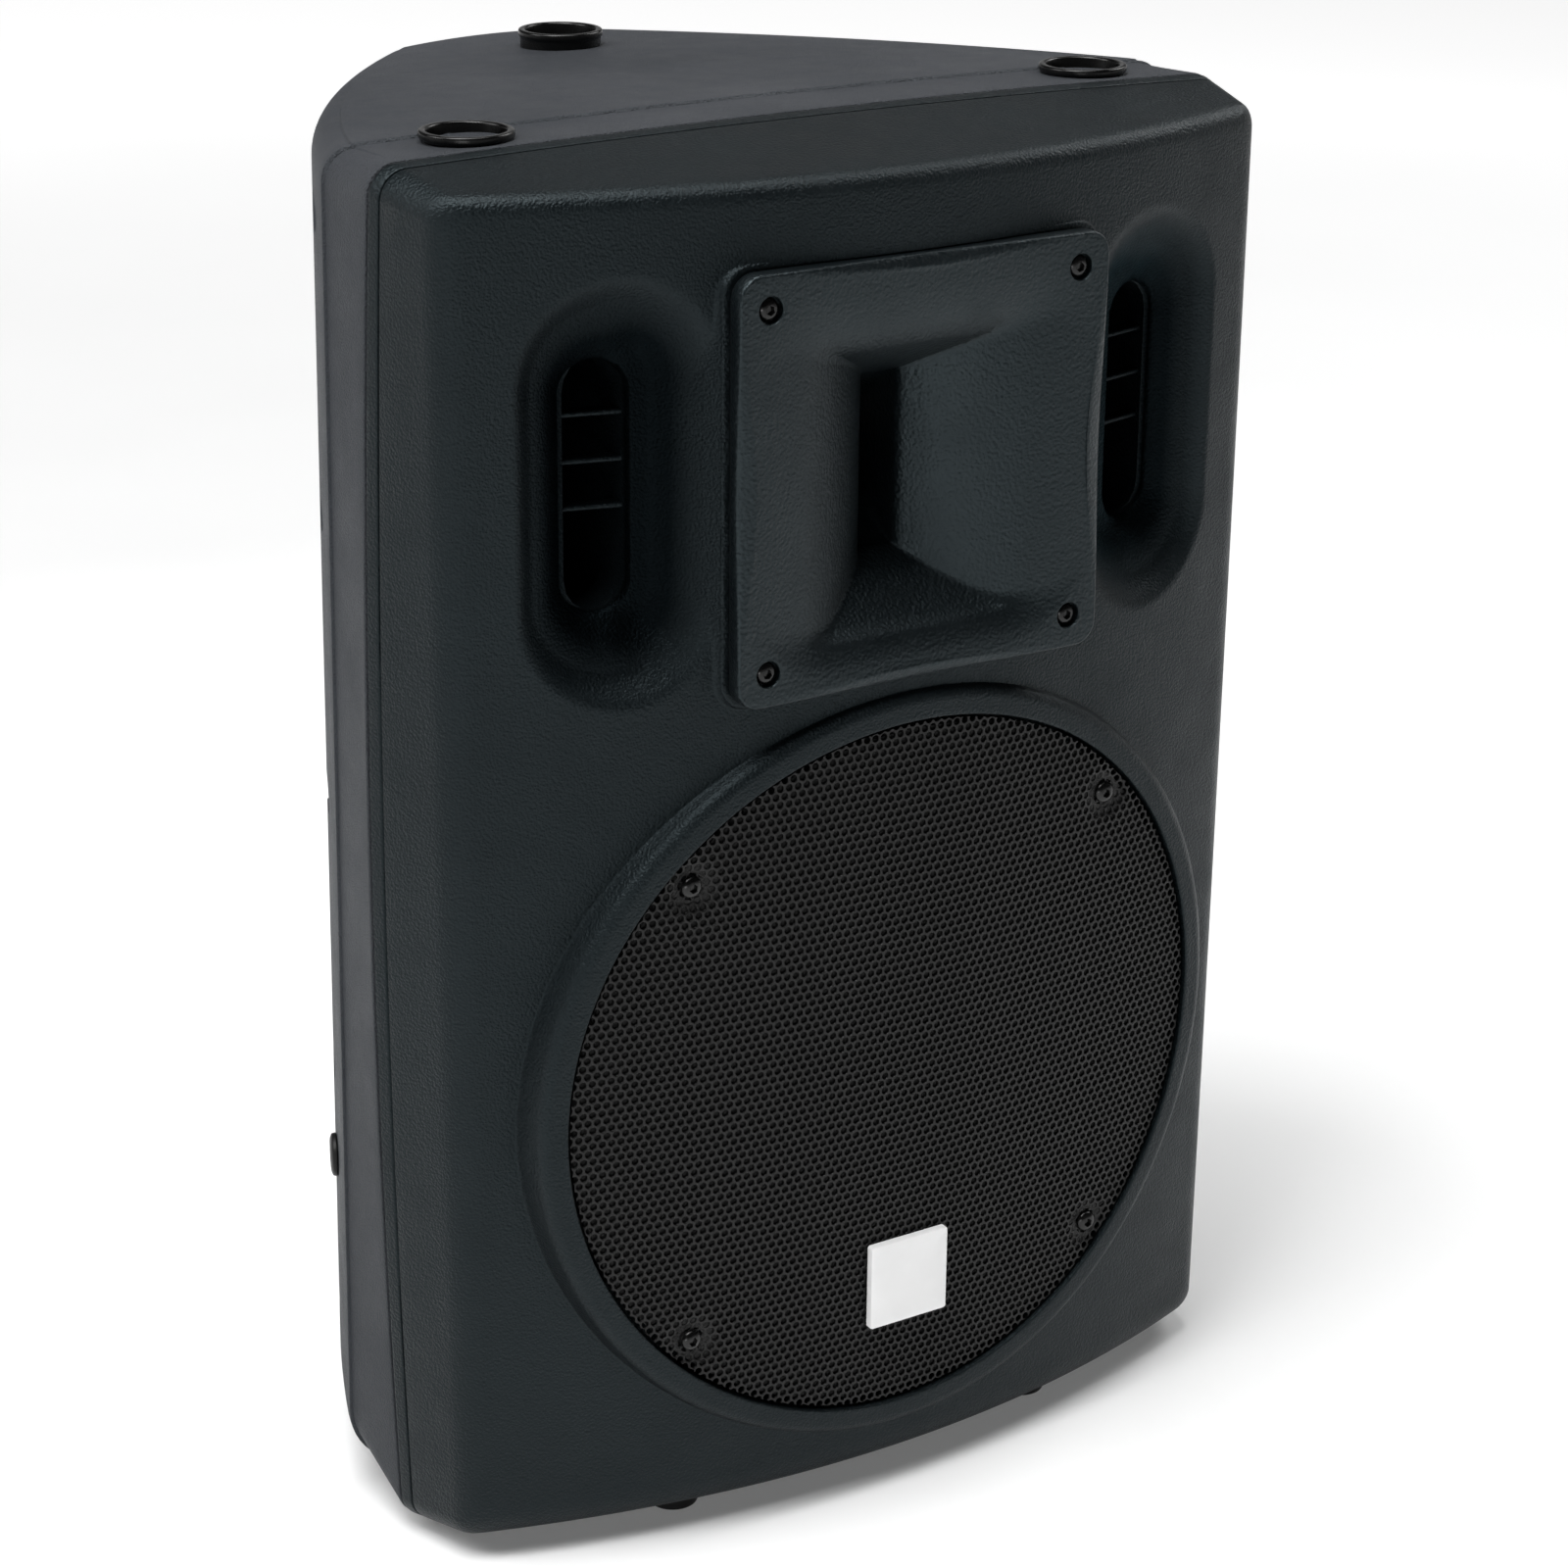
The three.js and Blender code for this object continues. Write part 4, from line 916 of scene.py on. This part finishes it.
def horn_flare():
    count = dict(corner=16, side=24)
    loops = []
    for y, half_x, half_z, round_x, round_z, up in between(HORN_SECTIONS, 6):
        loops.append(at_depth(superbox(half_x, half_z, round_x, round_z, **count), y, z=HORN_Z + up))
    edge = superbox(HORN_HALF, HORN_HALF, 10, 10, **count)
    # 1 at the middle of each side and 0 towards the corners
    along = np.minimum(np.abs(edge[:, 0]), np.abs(edge[:, 1])) / HORN_HALF
    middle_share = 1 - smoothstep(along, 0.0, 0.8)
    upright = np.abs(edge[:, 0]) > np.abs(edge[:, 1])
    pinch = np.where(upright, 5.0, 2.5) * middle_share
    dip = np.where(upright, 2.2, 1.6) * middle_share
    normal = outline_normal(edge)
    for inset, lower, share in ((3.2, 0, 1), (2.2, 0, 1), (1.5, 0.1, 0.8), (1.1, 0.0, 0.35),
                                (0.7, 0.15, 0.0), (0.3, 0.5, 0), (0.05, 1.0, 0)):
        outline = edge - normal * (inset + pinch * share)[:, None]
        fall = dip * (1 - share)
        loops.append(at_depth(outline, -0.5 + lower + fall, z=HORN_Z))
    loops.append(at_depth(edge, HORN_BACK_Y - 0.6, z=HORN_Z))
    loops.append(at_depth(edge - normal * 0.4, HORN_BACK_Y, z=HORN_Z))
    for y, half_x, half_z, round_x, round_z, up in HORN_SECTIONS[:-2][::-1]:
        size = superbox(half_x + 4, half_z + 4, round_x + 3.6, round_z + 3.6, **count)
        loops.append(at_depth(size, y + (HORN_BACK_Y if y < 5 else 2), z=HORN_Z + up))
    piece = new_object("horn_flare", *skin(loops, wrap=True))
    profile = [(5.9, -8), (5.9, -0.5), (5.4, 0.1), (5.4, 3.2)]
    cut(piece, *[turned("bore", profile, (dx, 0, HORN_Z + dz), segments=40)
                 for dx, dz in four_places(SCREW_SPACING_HORN, SCREW_SPACING_HORN)])
    dress(piece, HORN_PLASTIC, ["horn_waveguide"], sharp=38)


# ---- grille --------------------------------------------------------------------------------
HOLE_PITCH = 4.0
HOLE_RADIUS = 1.5
GRILLE_EDGE = 155.6
GRILLE_BACK = 2.0  # the sheet's front behind the ring's front


def grille_y(x, z):
    """The bowed sheet, pressed in a little round each screw."""
    y = GRILLE_BACK + bow(x, RING_BOW)
    for sx, sz in four_places(SCREW_SPACING_GRILLE, SCREW_SPACING_GRILLE):
        y = y + 1.7 * (1 - smoothstep(np.hypot(x - sx, z - sz), 4.6, 14))
    return y


def grille_sheet():
    """Each hole is a cell: a hexagon of sheet, a rounded rim and a wall."""
    spots = []
    row_step = HOLE_PITCH * math.sqrt(3) / 2
    for row in range(-46, 47):
        for column in range(-41, 42):
            spots.append(((column + 0.5 * (row % 2)) * HOLE_PITCH, row * row_step))
    spots = np.array(spots)
    spots = spots[np.hypot(spots[:, 0], spots[:, 1]) < GRILLE_EDGE + 1.2]
    turn = np.arange(12) * math.pi / 6
    cell_radius = np.where(np.arange(12) % 2 == 0, 0.5 * HOLE_PITCH, HOLE_PITCH / math.sqrt(3))
    rings = []
    for radius, back in ((cell_radius, 0.0), (HOLE_RADIUS + 0.16, 0.03), (HOLE_RADIUS, 0.25),
                         (HOLE_RADIUS, 1.15)):  # the last is the hole's far end
        place = (spots[:, None] + polar(radius, turn)[None]).reshape(-1, 2)
        reach = np.hypot(place[:, 0], place[:, 1])
        place = place * np.minimum(1, GRILLE_EDGE / np.maximum(reach, 1e-6))[:, None]
        y = grille_y(place[:, 0], place[:, 1]) + back
        rings.append(np.stack([place[:, 0], y, place[:, 1] + WOOFER_Z], 1))
    per = 12 * len(spots)
    first = np.arange(per)
    second = first - first % 12 + (first + 1) % 12
    faces = [np.stack([k * per + first, k * per + second, (k + 1) * per + second,
                       (k + 1) * per + first], 1) for k in range(3)]
    rim = polar(GRILLE_EDGE, turns(360))
    rim_front = at_depth(rim, grille_y(rim[:, 0], rim[:, 1]), z=WOOFER_Z)
    rim_back = rim_front + [0, 1.2, 0]
    made = joined((np.concatenate(rings), np.concatenate(faces)), skin([rim_front, rim_back]))
    piece = new_object("grille_sheet", *made)
    dress(piece, GRILLE_COAT, ["grille"], sharp=50)


# ---- fasteners -----------------------------------------------------------------------------
def socket_screw(name, centre, head, key, length, replaces, slant=0.0):
    """A button-head screw that faces forward, with a hexagonal socket; centre is under its head."""
    profile = [(head, 0), (head, -0.5), (head * 0.95, -1.1), (head * 0.83, -1.75),
               (head * 0.66, -2.25), (head * 0.5, -2.5)]
    loops = lathe([(2.4, length), (2.4, 0)] + profile, centre, segments=48)
    angle = turns(48)
    flat = key / np.cos((angle + slant) % (math.pi / 3) - math.pi / 6)
    for grow, y in ((0.25, -2.55), (0, -2.35), (0, -1.0)):
        loops.append(at_depth(polar(flat + grow, angle), y) + np.asarray(centre, float))
    piece = new_object(name, *capped(loops))
    dress(piece, SCREW_BLACK, replaces, sharp=35)


HEAD_RADIUS = 4.75
KEY_HALF = 1.7  # half of the hexagon across its flats
CORNERS = ((1, -1, 1), (2, 1, 1), (3, -1, -1), (4, 1, -1))


def front_screws():
    for number, dx, dz in CORNERS:
        place = (dx * SCREW_SPACING_HORN, 2.9, HORN_Z + dz * SCREW_SPACING_HORN)
        socket_screw(f"horn_bolt_{number}", place, HEAD_RADIUS, KEY_HALF, 18,
                     [f"horn_screw_{number}"], 0.4 * number)
        x, z = dx * SCREW_SPACING_GRILLE, dz * SCREW_SPACING_GRILLE
        place = (x, float(grille_y(x, z)) - 0.3, WOOFER_Z + z)
        socket_screw(f"grille_bolt_{number}", place, HEAD_RADIUS, KEY_HALF, 6,
                     [f"grille_screw_{number}"], 0.7 * number)


def shell_screws():
    """The screws that hold the halves together, at the bottom of the side pockets."""
    for name, side in (("left", -1), ("right", 1)):
        for number, z in enumerate(SHELL_SCREW_Z, 1):
            centre = (side * SHELL_SCREW_X, 136.2, z)
            profile = [(1.9, -20), (1.9, 0), (5, 0), (5, 1.4), (4, 2.6), (2.2, 3.1), (1.6, 2.0)]
            piece = turned(f"shell_screw_{name}_{number}", profile, centre, segments=32)
            dress(piece, SCREW_BLACK)


# ---- fittings ------------------------------------------------------------------------------
def stacking_cup(name, node):
    """A rubber ring with a rounded rim, a narrower neck and a shallow floor."""
    x, y, _ = middle(node)
    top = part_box(node)[1].z * 1000
    neck = 8.4 if name == "rear" else 3.6
    outer = rounded([(0, top - 14.8), (16.4, top - 14.8), (16.4, top - neck - 0.4),
                     (18.0, top - neck), (18.0, top - 3.4), (18.8, top - 2.6), (18.8, top),
                     (15.7, top), (14.4, top - 11.8), (0, top - 11.8)], 1.1)
    piece = turned(f"stacking_ring_{name}", outer, (x, y, 0), "z", 72)
    dress(piece, GLOSS_RUBBER, [node])


def feet():
    for name in ("front_left", "front_right", "rear_left", "rear_right"):
        node = f"foot_{name}"
        x, y, _ = middle(node)
        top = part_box(node)[1].z * 1000
        profile = rounded([(0, top), (9.6, top), (11, top - 1.5), (11, 0), (6, 0), (5.4, 1.2),
                           (0, 1.2)], 1.2)
        piece = turned(f"rubber_foot_{name}", profile, (x, y, 0), "z", 48)
        dress(piece, DULL_RUBBER, [node])


def pole_cup():
    x, y, _ = middle("pole_socket")
    profile = rounded([(0, 88), (18, 88), (18, 4), (19.5, 1.6), (36.5, 1.6), (38, 3.0), (38, 7.1),
                       (23.7, 7.1), (23.7, 91.9), (0, 91.9)], 0.9)
    piece = turned("pole_cup", profile, (x, y, 0), "z", 72)
    dress(piece, PANEL_COAT, ["pole_socket"])


SOCKET_Z = (142, 178)


def input_plate():
    face = PANEL_Y + 2
    steps = ((0.97, PANEL_Y), (1, PANEL_Y + 0.2), (1, PANEL_Y + 1.6), (0.99, face), (0.97, face))
    plate = slab("input_plate", superbox(PANEL_X, PANEL_HALF_Z, 4, 4), steps, 0, PANEL_Z)
    hole = [(12.4, PANEL_Y - 3), (12.4, PANEL_Y + 5)]
    cut(plate, *[turned("hole", hole, (0, 0, z)) for z in SOCKET_Z])
    dress(plate, PANEL_COAT, ["input_panel"])
    profile = [(1.5, 0), (3.4, 0), (3.4, 0.5), (2.6, 1.5), (1.2, 1.8), (0.9, 1.0)]
    for number, (x, z) in enumerate(four_places(29, 58), 1):
        screw = turned(f"panel_screw_{number}", profile, (x, face, PANEL_Z + z), segments=28)
        dress(screw, SCREW_BLACK)


def twist_socket(number, z):
    back = PANEL_Y + 2
    outline = superbox(13, 15.5, 3, 3, 12, 12)
    angle = np.arctan2(outline[:, 1], outline[:, 0])
    # (share of the square outline or a circle's radius, y)
    steps = [(12, PANEL_Y - 22), (12, back + 0.3), (0.99, back + 0.3), (1, back + 0.6),
             (1, back + 2.7), (0.97, back + 3.2), (11.3, back + 3.2), (10.8, back + 2.7),
             (10.8, PANEL_Y - 12), (4, PANEL_Y - 12), (4, back + 2.6), (3.4, back + 3.1)]
    loops = [at_depth(outline * size if size <= 1 else polar(size, angle), y, 0, z)
             for size, y in steps]
    piece = new_object(f"twist_socket_{number}", *capped(loops))
    dress(piece, FRONT_PLASTIC, [f"speaker_socket_{number}"])


def badge():
    x, _, z = middle("badge")
    steps = ((0.98, 1.6), (1, 1.4), (1, -1.4), (0.992, -1.85), (0.975, -2), (0.6, -2))
    piece = slab("blank_badge", superbox(19.6, 19.6, 1.2, 1.2), steps, x, z)
    dress(piece, BADGE, ["badge"])


def side_plugs():
    """A plug over the suspension point low on each tapered side."""
    for name, side in (("left", -1), ("right", 1)):
        y, z = 150, 147
        reach = PLAN_CENTRE[0] + math.sqrt(PLAN_RADIUS ** 2 - (y - PLAN_CENTRE[1]) ** 2)
        reach += SIDE_SPREAD * (CUP_RIM_Z - z)
        turn = math.asin((y - PLAN_CENTRE[1]) / PLAN_RADIUS)
        profile = rounded([(6, -6), (6, 0), (9.5, 0.1), (9.2, 2.2), (7, 3.0), (3, 3.0), (2.6, 1.6)], 0.8)
        loops = lathe(profile, (0, 0, 0), "x", 40)
        placed = []
        for loop in loops:
            x, across = loop[:, 0], loop[:, 1]
            placed.append(np.stack([side * (reach + x * math.cos(turn) - across * math.sin(turn)),
                                    y + x * math.sin(turn) + across * math.cos(turn),
                                    z + loop[:, 2]], 1))
        piece = new_object(f"side_plug_{name}", *capped(placed))
        dress(piece, DULL_RUBBER)


# ---- CAD nodes that stay -------------------------------------------------------------------
KEPT = {
    DULL_RUBBER: ["seam_gasket", "horn_gasket", "surround", "woofer_lead", "driver_lead"],
    FRONT_PLASTIC: ["port_tube_left", "port_tube_right", "driver_cap"],
    ZINC: ["top_plate", "yoke", "driver_diaphragm"] + [f"grille_post_{i}" for i in range(1, 5)],
    SCREW_BLACK: [f"basket_screw_{i}" for i in range(1, 5)],
    CAST_ALLOY: ["driver_body", "woofer_basket"],
    PAPER: ["woofer_cone", "dust_cap"],
    COPPER: ["voice_coil", "crossover_coil"],
    CLOTH: ["spider"],
    WOOL: ["damping_wool"],
    FERRITE: ["magnet", "crossover_capacitor"],
    BLACK_FOAM: ["grille_foam"],
    BOARD: ["crossover_board"],
}


def dress_kept_nodes():
    for material, names in KEPT.items():
        for name in names:
            shade(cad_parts[name].data, material, 30)


# ---- stage ---------------------------------------------------------------------------------
FLOOR_GLOW = 0.12
BACKDROP_GLOW = 0.8
FLOOR_FAR = 3.2  # metres from the object at which the floor's glow is full


def floor():
    n = Nodes("pale_floor")
    colour = n.ramp(n.noise(3, 3), (0.3, 0.88), (0.7, 0.91))
    n.feed(n.shader, Base_Color=colour, Roughness=0.75, Normal=n.bump(n.noise(300), 0.02, 0.0005))
    n.shader.inputs["Emission Color"].default_value = (1, 1, 1, 1)
    away = n.add("ShaderNodeVectorMath", Vector=n.place)
    away.operation = "LENGTH"
    share = n.math("DIVIDE", away.outputs["Value"], FLOOR_FAR)
    glow = n.ramp(share, (0.4, FLOOR_GLOW), (1.0, BACKDROP_GLOW))
    n.feed(n.shader, Emission_Strength=glow)
    profile = [(-6.0, 0.0), (1.5, 0.0), (2.2, 0.0), (3.2, 0.0), (4.2, 0.06), (5.0, 0.35)]
    points = [(x, y, z) for y, z in profile for x in (-9.0, 9.0)]
    faces = [(2 * i, 2 * i + 1, 2 * i + 3, 2 * i + 2) for i in range(len(profile) - 1)]
    mesh = bpy.data.meshes.new("floor")
    mesh.from_pydata(points, [], faces)
    made = bpy.data.objects.new("floor", mesh)
    bpy.context.scene.collection.objects.link(made)
    smooth = made.modifiers.new("smooth", "SUBSURF")
    smooth.levels = smooth.render_levels = 3
    mesh.materials.append(n.material)
    mesh.polygons.foreach_set("use_smooth", [True] * len(mesh.polygons))


def softbox(name, place, power, target=(0, 0, 0.32), size=(1.1, 1.1)):
    data = bpy.data.lights.new(name, "AREA")
    data.shape = "RECTANGLE"
    data.size, data.size_y = size
    data.energy = power
    lamp = bpy.data.objects.new(name, data)
    bpy.context.scene.collection.objects.link(lamp)
    lamp.location = place
    aim = Vector(target) - Vector(place)
    lamp.rotation_mode = "QUATERNION"
    lamp.rotation_quaternion = aim.to_track_quat("-Z", "Y")


HORIZON_AND_SKY = (0.45, 0.02)  # a pale horizon under a dark studio ceiling


def lights():
    softbox("top_box", (0.0, -0.1, 2.7), 36, size=(1.3, 1.1))
    softbox("upper_left_box", (-0.95, -0.35, 2.5), 46)
    softbox("left_box", (-1.8, 0.65, 1.8), 22)
    softbox("right_box", (1.9, 0.15, 1.8), 20)
    softbox("left_card", (-1.5, -1.8, 0.3), 6, (0, 0, 0.45), (1.0, 0.4))
    softbox("rear_box", (1.1, 1.9, 1.3), 1)
    world = bpy.data.worlds.new("studio")
    bpy.context.scene.world = world
    world.use_nodes = True
    nodes, link = world.node_tree.nodes, world.node_tree.links.new
    height = nodes.new("ShaderNodeSeparateXYZ")
    link(nodes.new("ShaderNodeTexCoord").outputs["Generated"], height.inputs[0])
    sky = nodes.new("ShaderNodeValToRGB")
    link(height.outputs["Z"], sky.inputs["Fac"])
    for element, position, grey in zip(sky.color_ramp.elements, (0.05, 0.22), HORIZON_AND_SKY):
        element.position = position
        element.color = (grey, grey, grey, 1)
    link(sky.outputs["Color"], nodes["Background"].inputs["Color"])
    bpy.context.scene.view_settings.view_transform = "Standard"


def camera():
    """The measured viewpoint, as the view's azimuth, elevation and roll and the eye's place."""
    azimuth, elevation, roll = map(math.radians, (32.56, 20.95, 0.57))
    ahead = Vector((math.sin(azimuth) * math.cos(elevation), math.cos(azimuth) * math.cos(elevation),
                    -math.sin(elevation)))
    level = Vector((math.cos(azimuth), -math.sin(azimuth), 0))
    upright = level.cross(ahead)
    right = math.cos(roll) * level + math.sin(roll) * upright
    up = -math.sin(roll) * level + math.cos(roll) * upright
    radius = GRILLE_RADIUS / 1000
    eye = Vector((-5.128, -7.380, 4.260)) * radius
    eye += Vector((0, DRAWING_Y / 1000, WOOFER_Z / 1000))
    data = bpy.data.cameras.new("camera")
    data.sensor_width = 36
    data.lens = 84.78
    made = bpy.data.objects.new("camera", data)
    bpy.context.scene.collection.objects.link(made)
    made.matrix_world = Matrix.Translation(eye) @ Matrix((right, up, -ahead)).transposed().to_4x4()
    bpy.context.scene.camera = made


front_moulding()
rear_moulding()
horn_flare()
grille_sheet()
for handle_name, handle_side in (("left", -1), ("right", 1)):
    handle(handle_side, handle_name)
front_screws()
shell_screws()
for cup in ("left", "right", "rear"):
    stacking_cup(cup, f"stacking_cup_{cup}")
feet()
pole_cup()
input_plate()
for socket_number, socket_z in enumerate(SOCKET_Z, 1):
    twist_socket(socket_number, socket_z)
badge()
side_plugs()
dress_kept_nodes()
floor()
lights()
camera()
